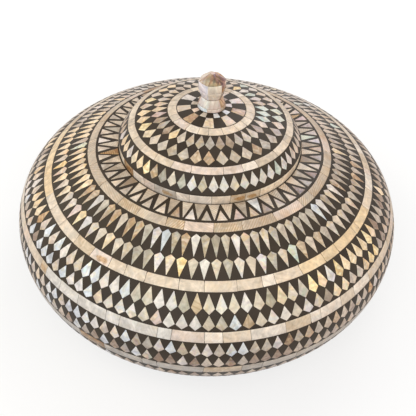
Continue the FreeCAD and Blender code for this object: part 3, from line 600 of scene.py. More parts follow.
def band_row(node, meridian, count, contrast, weights, material, seed):
    """Band of long segments with thin dark joints, no two of the same length."""
    rng = random.Random(seed)
    pieces = Pieces()
    start, stop = meridian.span(node)
    middle, length = (start + stop) / 2, stop - start
    joints = [math.tau * (number + stray(rng, BAND_SHIFT)) / count for number in range(count)]
    skews = [rng.gauss(0, BAND_SKEW) for _ in range(count)]
    joints.append(joints[0] + math.tau)
    skews.append(skews[0])
    share = np.linspace(-0.5, 0.5, BAND_CELLS + 1)
    for first, last, *ends in zip(joints, joints[1:], skews, skews[1:]):
        angle = (first + last) / 2
        gap = rng.uniform(*BAND_GAP)
        edges = []
        for turn, skew, side in zip((first, last), ends, (1, -1)):
            slips = [stray(rng, BAND_SLIP) for _ in range(2)]
            chips = np.zeros(BAND_CELLS + 1)
            chips[[0, -1]] = [rng.choice(BAND_CHIPS) * rng.random() for _ in range(2)]
            along = length * share + np.linspace(*slips, BAND_CELLS + 1)
            radius, _ = meridian.place(middle + along, TILE_THICK)
            across = (turn - angle) * radius + side * (gap / 2 + chips) + skew * share
            edges.append(np.column_stack([along, across]))
        kind = pick(rng, weights)
        for begin, end, run in BAND_RUNS.get(node, ()):
            if (math.degrees(angle) - begin) % 360 <= end - begin:
                kind = run
        eye = [stray(rng, EYE_ALONG) * length, stray(rng, EYE_ACROSS), 0.0]
        for direction, mark, strength in BAND_MARKS.get(node, ()):
            if first <= math.radians(direction) < last:
                kind, eye[2] = mark, strength
        tones = vary(rng, BAND_SHELL[kind], BAND_SPREAD, BAND_PLAY)
        surface = on_meridian(meridian, middle, angle, (rng.gauss(0, BAND_LEAN), 0.0))
        wide = (last - first) * float(meridian.place(middle, 0.0)[0])
        columns = max(BAND_LEAST_COLUMNS, round(wide / BAND_COLUMN))
        figure = grain(rng, contrast * rng.uniform(*BAND_LINES), rng.choice((-1, 1)) * rng.gauss(*BAND_TURN))
        pieces.add(surface, *edges, columns, tones, figure, eye=eye)
    pieces.build(f"{node}_inlay", material, meridian.body, "shell_bands", node)


def turned_mesh(name, outline, segments, closed=False):
    """Mesh of an outline turned about the axis of the box.

    The outline runs up the outside, from axis to axis or closed on itself.
    """
    rings = np.array(outline if closed else outline[1:-1])
    turn = np.arange(segments)[:, None] * math.tau / segments
    points = [rings[:, 0] * np.cos(turn), rings[:, 0] * np.sin(turn), rings[:, 1] + 0 * turn]
    points = np.stack(points, axis=-1).reshape(-1, 3)
    index = np.arange(len(points)).reshape(segments, -1)
    # The first points again close the turn, and a closed outline.
    index = np.pad(index, ((0, 1), (0, int(closed))), "wrap")
    faces = grid_faces(index)
    if not closed:
        foot, top = len(points), len(points) + 1
        points = np.vstack([points, (0.0, 0.0, outline[0][1]), (0.0, 0.0, outline[-1][1])])
        faces += [(foot, beside, first) for first, beside in zip(index[:, 0], index[1:, 0])]
        faces += [(top, first, beside) for first, beside in zip(index[:, -1], index[1:, -1])]
    return new_mesh(name, points, faces)


def section_line(line, lift, cells):
    """Points along a section line or one of its runs, lifted off it."""
    return list(zip(*line.place(np.linspace(0, line.length, cells + 1), lift)))


def corner_round(corner, first, last):
    """Points of the resin's surface round a convex corner of the section, between two tilts."""
    return section_line(Arc(corner, RESIN_LIFT, first, last), 0.0, CORNER_CELLS)[1:-1]


class Nodes:
    """Short way to write the node tree of a material or a world."""

    # Span that most of a noise texture's values lie in.
    NOISE_SPAN = (0.3, 0.7)

    def __init__(self, name, store="materials", shader="Principled BSDF"):
        self.owner = getattr(bpy.data, store).new(name)
        self.owner.use_nodes = True
        self.tree = self.owner.node_tree
        self.shader = self.tree.nodes[shader]

    def add(self, kind, inputs=None, **settings):
        """Outputs of a new node with settings and inputs."""
        node = self.tree.nodes.new(f"ShaderNode{kind}")
        for setting, choice in settings.items():
            setattr(node, setting, choice)
        for socket, content in (inputs or {}).items():
            self.feed(node.inputs[socket], content)
        return node.outputs

    def feed(self, socket, content):
        if isinstance(content, bpy.types.NodeSocket):
            self.tree.links.new(content, socket)
        else:
            socket.default_value = content

    def set(self, **inputs):
        for name, content in inputs.items():
            self.feed(self.shader.inputs[name.replace("_", " ")], content)

    def mix(self, factor, first, second, blend="MIX"):
        # In its colour mode, sockets 6 and 7 are the colours and output 2 is the result.
        inputs = {0: factor, 6: first, 7: second}
        return self.add("Mix", inputs, data_type="RGBA", blend_type=blend)[2]

    def math(self, operation, first, second=0.0):
        return self.add("Math", {0: first, 1: second}, operation=operation)[0]

    def range(self, content, low, high, to_low=0.0, to_high=1.0):
        inputs = dict(enumerate((content, low, high, to_low, to_high)))
        return self.add("MapRange", inputs)[0]

    def spread(self, noise, low, high):
        """Noise brought from its own span to another."""
        return self.range(noise, *self.NOISE_SPAN, low, high)

    def place(self):
        return self.add("TexCoord")["Object"]

    def noise(self, vector, scale, detail=2.0, roughness=0.5, distortion=0.0):
        inputs = {"Vector": vector, "Scale": scale, "Detail": detail, "Roughness": roughness,
                  "Distortion": distortion}
        return self.add("TexNoise", inputs)["Fac"]

    def ramp(self, content, *stops):
        colour, _ = self.add("ValToRGB", {"Fac": content})
        elements = colour.node.color_ramp.elements
        while len(elements) < len(stops):
            elements.new(1.0)
        for element, (place, shade) in zip(elements, stops):
            element.position = place
            element.color = (*shade, 1.0)
        return colour

    def bump(self, height, strength, distance):
        inputs = {"Height": height, "Strength": strength, "Distance": distance}
        return self.add("Bump", inputs)["Normal"]


def make_shell(name, line_scale, wander, line_depth, iris, rough, specular, coat):
    """Polished shell: two tones for each piece, growth lines, cloudy depth with painted sheen, and a soft
    play of colour.
    """
    nodes = Nodes(name)
    tint, second, figure, eye = (nodes.add("Attribute", attribute_name=layer)
                                 for layer in ("tint", "second", "figure", "eye"))
    *place, contrast = nodes.add("SeparateXYZ", {0: figure["Vector"]})
    flat = nodes.add("CombineXYZ", {0: place[0], 1: place[1]})[0]

    waves = nodes.add("TexWave", {
        "Vector": flat, "Scale": line_scale, "Distortion": wander, "Detail": 3.0, "Detail Scale": 0.22,
        "Detail Roughness": 0.65})["Fac"]
    streaks = nodes.add("Mapping", {"Vector": flat, "Scale": (1.0, 0.12, 1.0)})[0]
    fine = nodes.noise(streaks, 1.6, 3.0, 0.6, 0.4)
    cloud = nodes.noise(flat, 0.17, 2.0, 0.5, 1.0)
    patch = nodes.noise(flat, 0.055, 1.0, 0.5, 0.5)

    share = nodes.math("MULTIPLY", nodes.range(nodes.noise(flat, 0.14, 2.0, 0.45, 1.2), 0.42, 0.57),
                       second["Alpha"])
    ground = nodes.mix(share, tint["Color"], second["Color"])
    depth = nodes.math("MULTIPLY", contrast, line_depth)
    line = nodes.math("MULTIPLY", nodes.math("POWER", waves, 3.0), nodes.range(cloud, 0.35, 0.65, 0.15, 1.0))
    line = nodes.math("MULTIPLY", line, depth)
    browned = nodes.mix(1.0, second["Color"], (0.66, 0.52, 0.36, 1.0), "MULTIPLY")
    shade = nodes.mix(line, ground, browned)
    stained = nodes.math("MULTIPLY", nodes.range(patch, 0.5, 0.75, 0.0, 0.6), contrast)
    shade = nodes.mix(stained, shade, browned)

    # Cloudy light and dark within a piece, and fine streaks: partly the shell's own depth and partly painted
    # sheen and sparkle.
    level = nodes.spread(cloud, 0.78, 1.17)
    level = nodes.math("MULTIPLY", level, nodes.spread(fine, 0.92, 1.06))
    clouded_and_sheened = nodes.mix(1.0, shade, nodes.add("CombineColor", {0: level, 1: level, 2: level})[0], "MULTIPLY")

    play = nodes.ramp(nodes.noise(flat, 0.15, 1.0, 0.5, 1.2),
                      (0.28, (1.06, 0.85, 0.84)), (0.40, (1.08, 0.98, 0.70)), (0.50, (0.99, 1.0, 0.99)),
                      (0.60, (0.97, 0.93, 1.06)), (0.70, (0.86, 1.03, 0.98)))
    amount = nodes.math("MULTIPLY", tint["Alpha"], iris)
    colour = nodes.mix(amount, clouded_and_sheened, nodes.mix(1.0, clouded_and_sheened, play, "MULTIPLY"))

    *spot, strength = nodes.add("SeparateXYZ", {0: eye["Vector"]})
    oval = nodes.add("CombineXYZ", {
        0: nodes.math("MULTIPLY", spot[0], 0.42), 1: nodes.math("MULTIPLY", spot[1], 0.2)})[0]
    reach = nodes.add("VectorMath", {0: oval}, operation="LENGTH")["Value"]
    reach = nodes.math("ADD", reach, nodes.spread(cloud, -0.3, 0.15))
    brown = nodes.ramp(reach, (0.0, (0.60, 0.39, 0.20)), (0.18, (0.90, 0.72, 0.48)),
                       (0.36, (0.56, 0.36, 0.18)), (0.50, (0.95, 0.84, 0.66)), (0.64, (0.74, 0.55, 0.34)),
                       (0.82, (1.0, 1.0, 1.0)))
    colour = nodes.mix(strength, colour, nodes.mix(1.0, colour, brown, "MULTIPLY"))

    nodes.set(Base_Color=colour, Roughness=nodes.spread(cloud, rough - 0.06, rough + 0.08), IOR=1.53,
              Normal=nodes.bump(nodes.math("ADD", waves, fine), 0.06, 0.0002))
    nodes.set(Specular_IOR_Level=specular, Coat_Weight=coat, Coat_Roughness=0.1, Thin_Film_Thickness=380.0,
              Thin_Film_IOR=1.36)
    return nodes.owner


def make_resin():
    """Dark polished resin with fine dust and a dull bloom."""
    nodes = Nodes("dark_resin")
    place = nodes.place()
    bloom = nodes.noise(place, 55.0, 3.0, 0.6)
    dust = nodes.noise(place, 1900.0, 2.0, 0.7)
    colour = nodes.mix(nodes.range(bloom, 0.35, 0.7), (0.027, 0.0190, 0.0125, 1.0),
                       (0.043, 0.031, 0.0205, 1.0))
    colour = nodes.mix(nodes.range(dust, 0.63, 0.72, 0.0, 0.3), colour, (0.10, 0.08, 0.06, 1.0))
    nodes.set(Base_Color=colour, Roughness=nodes.spread(bloom, 0.42, 0.58), Specular_IOR_Level=0.18,
              Normal=nodes.bump(dust, 0.12, 0.0001))
    return nodes.owner


def make_wood():
    """Stained wood, turned: growth rings across, with open pores."""
    nodes = Nodes("stained_wood")
    place = nodes.place()
    along = nodes.add("Mapping", {"Vector": place, "Scale": (1.0, 9.0, 9.0)})[0]
    rings = nodes.add("TexWave", {
        "Vector": place, "Scale": 38.0, "Distortion": 6.0, "Detail": 3.0, "Detail Scale": 1.6},
        bands_direction="Y")["Fac"]
    pores = nodes.noise(along, 160.0, 4.0, 0.7)
    colour = nodes.ramp(rings, (0.0, (0.062, 0.034, 0.019)), (0.55, (0.105, 0.060, 0.034)),
                        (1.0, (0.150, 0.092, 0.055)))
    colour = nodes.mix(nodes.range(pores, 0.56, 0.68, 0.0, 0.55), colour, (0.030, 0.017, 0.010, 1.0))
    nodes.set(Base_Color=colour, Roughness=nodes.spread(pores, 0.42, 0.6),
              Normal=nodes.bump(pores, 0.25, 0.0003))
    return nodes.owner


def make_felt():
    """Dark felt with matted fibres and tufts."""
    nodes = Nodes("felt")
    place = nodes.place()
    fibre = nodes.noise(place, 900.0, 5.0, 0.8, 2.0)
    tuft = nodes.noise(place, 120.0, 3.0, 0.6)
    colour = nodes.mix(nodes.spread(fibre, 0.0, 1.0), (0.018, 0.017, 0.016, 1.0),
                       (0.055, 0.051, 0.047, 1.0))
    nodes.set(Base_Color=colour, Roughness=0.95, Sheen_Weight=0.35, Sheen_Roughness=0.5,
              Normal=nodes.bump(nodes.math("ADD", fibre, tuft), 0.6, 0.0006))
    return nodes.owner


def make_steel():
    """Turned steel with fine rings and a little wear."""
    nodes = Nodes("plain_steel")
    place = nodes.place()
    turned = nodes.add("TexWave", {"Vector": place, "Scale": 900.0, "Distortion": 1.5},
                       wave_type="RINGS", rings_direction="Z")["Fac"]
    wear = nodes.noise(place, 260.0, 4.0, 0.6)
    colour = nodes.mix(nodes.range(wear, 0.35, 0.7), (0.50, 0.49, 0.47, 1.0),
                       (0.66, 0.65, 0.62, 1.0))
    nodes.set(Base_Color=colour, Metallic=1.0, Roughness=nodes.spread(wear, 0.24, 0.42),
              Normal=nodes.bump(turned, 0.1, 0.0001))
    return nodes.owner


# Finish of the shell that is less polished: bands and striped pieces.
DULL = {"iris": 0.35, "specular": 0.3, "coat": 0.05}
shell_material = make_shell(
    "shell_inlay", line_scale=0.1, wander=9.0, line_depth=0.8, iris=0.8, rough=0.3, specular=0.4, coat=0.12)
band_material = make_shell("shell_bands", line_scale=0.14, wander=9.0, line_depth=0.55, rough=0.36, **DULL)
striped_material = make_shell("shell_striped", line_scale=0.2, wander=2.5, line_depth=1.0, rough=0.38, **DULL)
knob_material = make_shell(
    "shell_knob", line_scale=0.1, wander=6.0, line_depth=1.0, iris=0.3, rough=0.2, specular=0.5, coat=0.6)
resin_material = make_resin()
wood_material = make_wood()
felt_material = make_felt()
steel_material = make_steel()


def dress_cad():
    """Turned wood and the washer keep their solids' shapes, with materials of their own."""
    dressed = {"wood": wood_material, "fastener": steel_material}
    for row in frame["record"]["subparts"]:
        if row["material_slot"] in dressed:
            materials = frame["nodes"][row["node"]].data.materials
            materials.clear()
            materials.append(dressed[row["material_slot"]])


# Room round the lid's rim, and the slope of the resin's edge there.
SEAT_GAP = 0.4
SEAT_SLOPE = 0.15
BODY_SEGMENTS = 240
LID_SEGMENTS = 160
# Cells along the resin's section lines, outside and inside.
BODY_CELLS, DOME_CELLS, SKIRT_CELLS, RIM_CELLS, CORNER_CELLS = 72, 24, 4, 3, 4
INNER_BODY_CELLS, INNER_DOME_CELLS = 36, 16


def make_grounds():
    """Resin skins of body and lid: a polished outside, and the inside on the wood."""
    seat = LID_RADIUS + TILE_THICK + SEAT_GAP
    mouth = LID_RADIUS - SEAT_WIDTH + MOUTH_EDGE
    polished = SHELF + RESIN_LIFT
    body = [(mouth, SHELF - GROUND_THICK), (mouth, SHELF), (seat, SHELF), (seat + SEAT_SLOPE, polished),
            (SHELF_RADIUS, polished)]
    body += corner_round((SHELF_RADIUS, SHELF), 0.0, SHELF_TILT)
    body += section_line(BODY, RESIN_LIFT, BODY_CELLS)
    body += section_line(BODY, -GROUND_THICK, INNER_BODY_CELLS)[::-1]

    collar_top = KNOB_SEAT + KNOB_COLLAR_HEIGHT
    inner_rim = LID_RADIUS - GROUND_THICK
    lid = [(SCREW_HOLE, collar_top), (KNOB_COLLAR_RADIUS, collar_top)]
    lid += section_line(DOME, RESIN_LIFT, DOME_CELLS)
    lid += corner_round((DOME_EDGE_RADIUS, DOME_EDGE), DOME_TILT, SKIRT_TILT)
    lid += section_line(SKIRT, RESIN_LIFT, SKIRT_CELLS)
    lid += corner_round((LID_RADIUS, RIM_TOP), SKIRT_TILT, math.pi / 2)
    lid += section_line(RIM, RESIN_LIFT, RIM_CELLS)
    lid += [(inner_rim, SHELF), (inner_rim, RIM_TOP - GROUND_THICK / 2)]
    lid += section_line(DOME, -GROUND_THICK, INNER_DOME_CELLS)[::-1]
    lid += [(SCREW_HOLE, KNOB_SEAT - GROUND_THICK)]

    for part, outline, segments in (("body", body, BODY_SEGMENTS), ("lid", lid, LID_SEGMENTS)):
        mesh = turned_mesh(f"{part}_resin", outline[::-1], segments, closed=True)
        finish_piece(mesh.name, mesh, resin_material, part, "resin_ground", f"{part}_ground",
                     sharp=RESIN_SHARP)


KITE_ROWS = [
    # node, meridian, count, width share, widest point, zone
    ("kites_shoulder_upper", BODY, 96, 0.85, 0.18, "crest"),
    ("kites_shoulder_lower", BODY, 96, 0.863, 0.19, "shoulder"),
    ("kites_flank_upper", BODY, 110, 0.915, 0.72, "flank"),
    ("kites_flank_lower", BODY, 110, 0.908, 0.70, "flank"),
    ("kites_belly_upper", BODY, 126, 0.9, 0.72, "belly"),
    ("kites_belly_lower", BODY, 126, 0.9, 0.72, "keel"),
    ("kites_lid_skirt", SKIRT, 58, 0.89, 0.68, "skirt"),
    ("kites_lid_lower", DOME, 36, 0.9, 0.65, "dome"),
    ("kites_lid_upper", DOME, 36, 0.917, 0.66, "cap"),
]
BAND_ROWS = [
    # node, meridian, count, contrast of the growth lines, kinds of shell, material
    ("band_mouth", BODY, 30, 1.0, STRIPED_WEIGHTS, striped_material),
    ("band_shoulder", BODY, 48, 0.3, BAND_WEIGHTS, band_material),
    ("band_flank", BODY, 56, 0.3, BAND_WEIGHTS, band_material),
    ("band_belly", BODY, 44, 0.5, LOW_WEIGHTS, band_material),
    ("band_keel", BODY, 36, 0.4, LOW_WEIGHTS, band_material),
    ("band_foot", BODY, 36, 0.4, LOW_WEIGHTS, band_material),
    ("band_lid_crown", DOME, 20, 0.25, LID_WEIGHTS, band_material),
    ("band_lid_shoulder", DOME, 26, 0.25, LID_WEIGHTS, band_material),
    ("band_lid_rim", RIM, 36, 0.5, RIM_WEIGHTS, band_material),
]
TOOTH_ROWS = [
    # node, order of base and tip, width share, turn, strongest added lines, material
    ("shelf_teeth_inner", 1, 0.85, 0.0, 1.0, striped_material),
    ("shelf_teeth_outer", -1, 0.632, 0.5, 0.3, shell_material),
]
# Two rows in each gap below the belly band: name, bands above and below, count.
LOWER_GAPS = [("kites_keel", "band_belly", "band_keel", 126), ("kites_foot", "band_keel", "band_foot", 110)]
LOWER_SHARES = {"upper": (0.03, 0.49), "lower": (0.51, 0.97)}
LOWER_WIDTH_SHARE = 0.9
LOWER_WIDEST = 0.7
# First seeds of the rows, one seed for each row.
KITE_SEED, BAND_SEED, LOWER_SEED, TOOTH_SEED, CHEQUER_SEED, KNOB_SEED = 100, 200, 300, 401, 411, 421


def make_inlay():
    """Rows of kites and bands on body and lid, and the teeth that leave a zigzag on the shelf."""
    for number, (node, meridian, *cut) in enumerate(KITE_ROWS):
        kite_row(node, meridian, *meridian.span(node), *cut, KITE_SEED + number, node)
    for number, row in enumerate(BAND_ROWS):
        band_row(*row, BAND_SEED + number)
    seeds = itertools.count(LOWER_SEED)
    for name, above, below, count in LOWER_GAPS:
        begin, end = BODY.span(above)[1], BODY.span(below)[0]
        for row, shares in LOWER_SHARES.items():
            start, stop = (begin + (end - begin) * share for share in shares)
            kite_row(f"{name}_{row}", BODY, start, stop, count, LOWER_WIDTH_SHARE, LOWER_WIDEST, "keel",
                     next(seeds))
    for number, (node, order, *cut) in enumerate(TOOTH_ROWS):
        tooth_row(node, *FLAT_SHELF.span(node)[::order], *cut, TOOTH_SEED + number)


CHEQUER = 9
CHEQUER_TURN = math.radians(27)
CHEQUER_SLIP = 0.02
CHEQUER_WIDTH = (0.96, 1.0)
CHEQUER_GAP = 0.25
CHEQUER_CELLS = 6
CHEQUER_COLUMNS = 5


def make_chequer():
    """Wedges round the knob, and small squares between their upper ends."""
    for row, (node, turn) in enumerate((("lid_top_wedges", 0.0), ("lid_top_squares", 0.5))):
        rng = random.Random(CHEQUER_SEED + row)
        pieces = Pieces()
        ends = np.array(DOME.span(node))
        middle = ends.mean()
        room = DOME.place(ends, TILE_THICK)[0] * math.pi / 2 / CHEQUER
        for number in range(CHEQUER):
            angle = CHEQUER_TURN + math.tau * (number + turn + stray(rng, CHEQUER_SLIP)) / CHEQUER
            edges = []
            for side in (-1, 1):
                widths = [rng.uniform(*CHEQUER_WIDTH) for _ in range(CHEQUER_CELLS + 1)]
                across = side * (room * widths[::CHEQUER_CELLS] - CHEQUER_GAP)
                edges.append(np.linspace(*zip(ends - middle, across), CHEQUER_CELLS + 1))
            tones, lines = shell_tones(rng, shell_kind(rng, node, angle))
            pieces.add(on_meridian(DOME, middle, angle), *edges, CHEQUER_COLUMNS, tones, grain(rng, lines))
        pieces.build(f"{node}_inlay", shell_material, DOME.body, "shell_inlay", node)


KNOB_SIDES = 6
KNOB_TURN = math.radians(43)
KNOB_FLAT = 8.5
KNOB_PLATE = 1.0
KNOB_JOINT = 0.09
KNOB_BEVEL = 0.55
KNOB_BEVEL_DROP = 0.22
# Levels of the knob: flat and height as shares of the foot's flat and the knob's height, and how far
# polishing has rounded it there, from flat facets at 0 to a circle at 1.
KNOB_LEVELS = [(1.0, 0.0, 0.95), (0.95, 0.085, 0.85), (0.7, 0.325, 0.45), (0.94, 0.575, 0.35),
               (0.94, 0.805, 0.4), (0.16, 1.0, 0.8)]
# Tiers of facets: how far they swell, and their shell from the one beside +X round the knob.
KNOB_TIERS = {
    "knob_foot_plates": (0.1, "cream white cream silver blush tan"),
    "knob_flare_plates": (0.25, "tan cream umber white blush amber"),
    "knob_neck_plates": (0.2, "cream grey tan pearl ivory cream"),
    "knob_barrel_plates": (0.35, "tan white cream pearl ivory amber"),
    "knob_crown_plates": (0.7, "amber tan cream tan brown brown"),
}
# Share of the plates' thickness that shows, and how far their growth lines turn.
KNOB_PLATE_SHOWN = 0.85
KNOB_GRAIN_TURN = 0.35
KNOB_CELLS = 6
KNOB_COLUMNS = 8
# Outline of the cap on the knob: share of its radius, and depth below its top.
KNOB_CAP = [(0.0, 0.8), (1.0, 0.8), (1.0, 0.25), (0.8, 0.03), (0.0, 0.0)]
CAP_SEGMENTS = 24
CAP_FIGURE = 0.5


def knob_outline():
    """Flats and heights of the shell's outer corners: the wooden levels, moved out by the plates."""
    low, high = node_low("knob_core").z, node_high("knob_core").z
    levels = np.array([(KNOB_FLAT * wide, low + (high - low) * up) for wide, up, _ in KNOB_LEVELS])
    ways = [np.array([up, -out]) / math.hypot(out, up) for out, up in np.diff(levels, axis=0)]
    corners = [levels[0] + (KNOB_PLATE / ways[0][0], 0.0)]
    for level, before, after in zip(levels[1:], ways, [*ways[1:], np.array([0.0, 1.0])]):
        corners.append(level + (before + after) * KNOB_PLATE / (1 + before @ after))
    return corners


def on_facet(upper, lower, turn, rounds):
    """Surface of one facet between two levels, with points along its slope and across it.

    rounds says how far the facet is rounded at its upper and at its lower level.
    """
    slope = math.hypot(*(lower - upper))
    way = (lower - upper) / slope

    def surface(along, across, lift):
        sink = lift - TILE_THICK
        flat = upper[0] + along * way[0]
        corner = flat / math.cos(math.pi / KNOB_SIDES)
        bulge = np.sqrt(np.maximum(corner ** 2 - across ** 2, 0.0)) - flat
        flat = flat + bulge * np.interp(along, (0.0, slope), rounds) - sink * way[1]
        height = upper[1] + along * way[1] + sink * way[0]
        return np.stack([flat * math.cos(turn) - across * math.sin(turn),
                         flat * math.sin(turn) + across * math.cos(turn), height], axis=1)

    return surface, slope


def make_knob():
    """Faceted knob: shell plates mitred together over the wooden core."""
    rng = random.Random(KNOB_SEED)
    corners = knob_outline()
    spread = math.tan(math.pi / KNOB_SIDES)
    foot = TILE_THICK - KNOB_PLATE * KNOB_PLATE_SHOWN
    rounded = [level[-1] for level in KNOB_LEVELS]
    levels = zip(corners, corners[1:], rounded, rounded[1:])
    for (tier, (swell, kinds)), (lower, upper, *rounds) in zip(KNOB_TIERS.items(), levels):
        pieces = Pieces()
        for number, kind in enumerate(kinds.split()):
            turn = KNOB_TURN + math.tau * number / KNOB_SIDES
            surface, slope = on_facet(upper, lower, turn, rounds[::-1])
            edges = []
            for side in (-1, 1):
                ends = [(KNOB_JOINT, side * (upper[0] * spread - KNOB_JOINT)),
                        (slope - KNOB_JOINT, side * (lower[0] * spread - KNOB_JOINT))]
                edges.append(np.linspace(*ends, KNOB_CELLS + 1))
            tones, lines = shell_tones(rng, kind)
            figure = grain(rng, lines, rng.gauss(math.pi / 2, KNOB_GRAIN_TURN))
            pieces.add(surface, *edges, KNOB_COLUMNS, tones, figure, swell, foot, KNOB_BEVEL, KNOB_BEVEL_DROP)
        pieces.build(f"{tier}_facets", knob_material, "lid", "shell_knob", tier)
    radius, top = corners[-1]
    make_cap("knob_tip", [(radius * share, top - depth) for share, depth in KNOB_CAP])


def make_cap(name, outline):
    """Small turned cap with its own shell figure."""
    mesh = turned_mesh(name, outline, CAP_SEGMENTS)
    points = np.array([vertex.co for vertex in mesh.vertices]) / MM
    for layer, tone in zip(("tint", "second"), SHELL["blush"]):
        add_layer(mesh, layer, np.tile((*linear(tone), CAP_FIGURE), (len(points), 1)))
    for layer, strength in (("figure", CAP_FIGURE), ("eye", 0.0)):
        add_layer(mesh, layer, np.column_stack([points[:, :2], np.full(len(points), strength)]))
    finish_piece(name, mesh, knob_material, "lid", "shell_knob", "knob_button")


SCREW_RADIUS = 1.9
SCREW_HEAD_HEIGHT = 2.4
SCREW_HEAD_EDGE = 0.8
SCREW_SLOT_WIDTH = 1.0
SCREW_SLOT_DEPTH = 1.1
SCREW_SLOT_TURN = math.radians(28)
SCREW_SEGMENTS = 48
# Faces of a box whose corners run through Z first, then Y, then X.
BOX_FACES = [(0, 1, 3, 2), (4, 6, 7, 5), (0, 4, 5, 1), (2, 3, 7, 6), (0, 2, 6, 4), (1, 5, 7, 3)]


def make_screw():
    """Screw that holds the knob, with a slotted head under the lid."""
    low, high = node_low("knob_screw"), node_high("knob_screw")
    head, head_top = high.x, low.z + SCREW_HEAD_HEIGHT
    outline = [(0.0, low.z), (head - SCREW_HEAD_EDGE, low.z), (head, low.z + SCREW_HEAD_EDGE),
               (head, head_top), (SCREW_RADIUS, head_top), (SCREW_RADIUS, high.z - SCREW_RADIUS),
               (0.0, high.z)]
    blank = add_object("screw_blank", turned_mesh("screw_blank", outline, SCREW_SEGMENTS))
    half = Vector((head * 2, SCREW_SLOT_WIDTH / 2, SCREW_SLOT_DEPTH))
    corners = [Vector((x, y, z)) * half for x in (-1, 1) for y in (-1, 1) for z in (-1, 1)]
    place, turn = Vector((0.0, 0.0, low.z)), Matrix.Rotation(SCREW_SLOT_TURN, 3, "Z")
    slot_mesh = new_mesh("screw_slot", [turn @ corner + place for corner in corners], BOX_FACES)
    slot = add_object("screw_slot", slot_mesh)
    cut = blank.modifiers.new("slot", "BOOLEAN")
    cut.operation, cut.solver, cut.object = "DIFFERENCE", "EXACT", slot
    mesh = bpy.data.meshes.new_from_object(blank.evaluated_get(bpy.context.evaluated_depsgraph_get()))
    for piece in (blank, slot):
        bpy.data.objects.remove(piece)
    mesh.materials.clear()
    finish_piece("knob_screw_slotted", mesh, steel_material, "lid", "fastener", "knob_screw")


# Soft edge of the felt: how far in its foot, its shoulder and its top lie, the shoulder's height, and the
# widest level as a share of the thickness.
FELT_FOOT = 0.7
FELT_SHOULDER = (0.15, 0.35)
FELT_WIDEST = 0.6
FELT_TOP = 0.1
FELT_SEGMENTS = 96


def make_felt_pad():
    """Round felt pad, glued under the base, with a soft cut edge."""
    radius, _, top = node_high("base_felt")
    inward, shoulder = FELT_SHOULDER
    outline = [(0.0, 0.0), (radius - FELT_FOOT, 0.0), (radius - inward, shoulder),
               (radius, top * FELT_WIDEST), (radius - FELT_TOP, top), (0.0, top)]
    mesh = turned_mesh("felt_pad", outline, FELT_SEGMENTS)
    pad = finish_piece("felt_pad", mesh, felt_material, "body", "felt", "base_felt")


# Camera, from the photograph: where it looks, how far off and how high it stands.
CAMERA_TARGET = (0.61, 0.0, 43.98)
CAMERA_DISTANCE = 444.2
CAMERA_ELEVATION = math.radians(44.93)
CAMERA_ROLL = math.radians(2.41)
CAMERA_LENS = 42.335


def make_camera():
    data = bpy.data.cameras.new("camera")
    data.lens = CAMERA_LENS
    camera = add_object("camera", data)
    back = Vector((0.0, -math.cos(CAMERA_ELEVATION), math.sin(CAMERA_ELEVATION)))
    camera.location = (Vector(CAMERA_TARGET) + back * CAMERA_DISTANCE) * MM
    turn = (-back).to_track_quat("-Z", "Y").to_matrix().to_4x4()
    camera.rotation_euler = (turn @ Matrix.Rotation(CAMERA_ROLL, 4, "Z")).to_euler()
    bpy.context.scene.camera = camera


LAMPS = [
    # name, place in metres, width, watts, colour
    ("key_lamp", (-0.1, -0.95, 1.2), 1.6, 13.6, (1.0, 0.98, 0.95)),
    ("right_lamp", (1.1, -0.6, 0.7), 0.9, 5.7, (1.0, 0.83, 0.66)),
    ("front_left_lamp", (-0.8, -1.0, 0.45), 0.8, 3.8, (0.76, 0.87, 1.0)),
    ("left_lamp", (-1.2, 0.15, 0.85), 0.8, 7.0, (1.0, 0.89, 0.66)),
    ("back_lamp", (0.5, 1.1, 1.1), 0.9, 7.0, (0.97, 0.98, 1.0)),
]
LAMP_AIM = Vector((0, 0, 0.06))


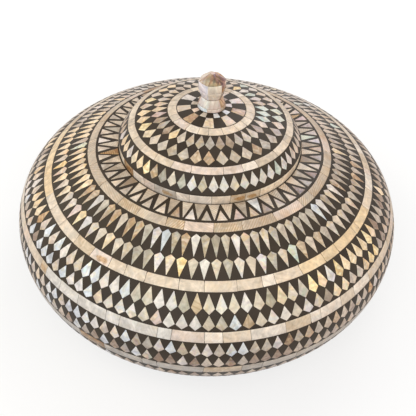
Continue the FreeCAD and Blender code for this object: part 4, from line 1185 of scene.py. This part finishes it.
def make_light():
    for name, place, width, watts, colour in LAMPS:
        data = bpy.data.lights.new(name, "AREA")
        data.size, data.energy, data.color = width, watts, colour
        lamp = add_object(name, data)
        lamp.location = place
        lamp.rotation_euler = (LAMP_AIM - Vector(place)).to_track_quat("-Z", "Y").to_euler()


WHITE = (1.0, 1.0, 1.0, 1.0)
AMBIENT = 0.36
FLOOR_COLOUR = (0.2, 0.2, 0.2, 1.0)
FLOOR_ROUGH = 0.9
# Glow of the floor at the box and far from it, and the distances between which it grows. The weaker glow near
# the box paints shade on the floor round and under it.
FLOOR_GLOW = (0.7, 0.94)
FLOOR_GLOW_REACH = (0.12, 0.6)
FLOOR_HALF = 4000


def seen_directly(nodes):
    """Socket that is 1 for rays that show the background: seen, mirrored or through glass."""
    rays = nodes.add("LightPath")
    mirrored = nodes.math("MAXIMUM", rays["Is Camera Ray"], rays["Is Glossy Ray"])
    return nodes.math("MAXIMUM", mirrored, rays["Is Transmission Ray"])


def make_stage():
    """White surroundings, and a pale floor that keeps the shadow, with painted shade where its glow is weaker
    near the box.
    """
    world = Nodes("studio", "worlds", "Background")
    world.set(Color=WHITE, Strength=world.range(seen_directly(world), 0.0, 1.0, AMBIENT, 1.0))
    bpy.context.scene.world = world.owner

    pale = Nodes("pale_floor")
    distance = pale.add("VectorMath", {0: pale.place()}, operation="LENGTH")["Value"]
    # Glow weaker near the box: painted shade on the floor round and under it.
    glow = pale.math("MULTIPLY", seen_directly(pale), pale.range(distance, *FLOOR_GLOW_REACH, *FLOOR_GLOW))
    pale.set(Base_Color=FLOOR_COLOUR, Roughness=FLOOR_ROUGH, Emission_Color=WHITE, Emission_Strength=glow)
    corners = [(x * FLOOR_HALF, y * FLOOR_HALF, 0) for x, y in ((-1, -1), (1, -1), (1, 1), (-1, 1))]
    mesh = new_mesh("floor", corners, [(0, 1, 2, 3)])
    mesh.materials.append(pale.owner)
    add_object("floor", mesh)


dress_cad()
make_grounds()
make_inlay()
make_chequer()
make_knob()
make_screw()
make_felt_pad()
make_camera()
make_light()
make_stage()
bpy.context.scene.view_settings.view_transform = "Standard"
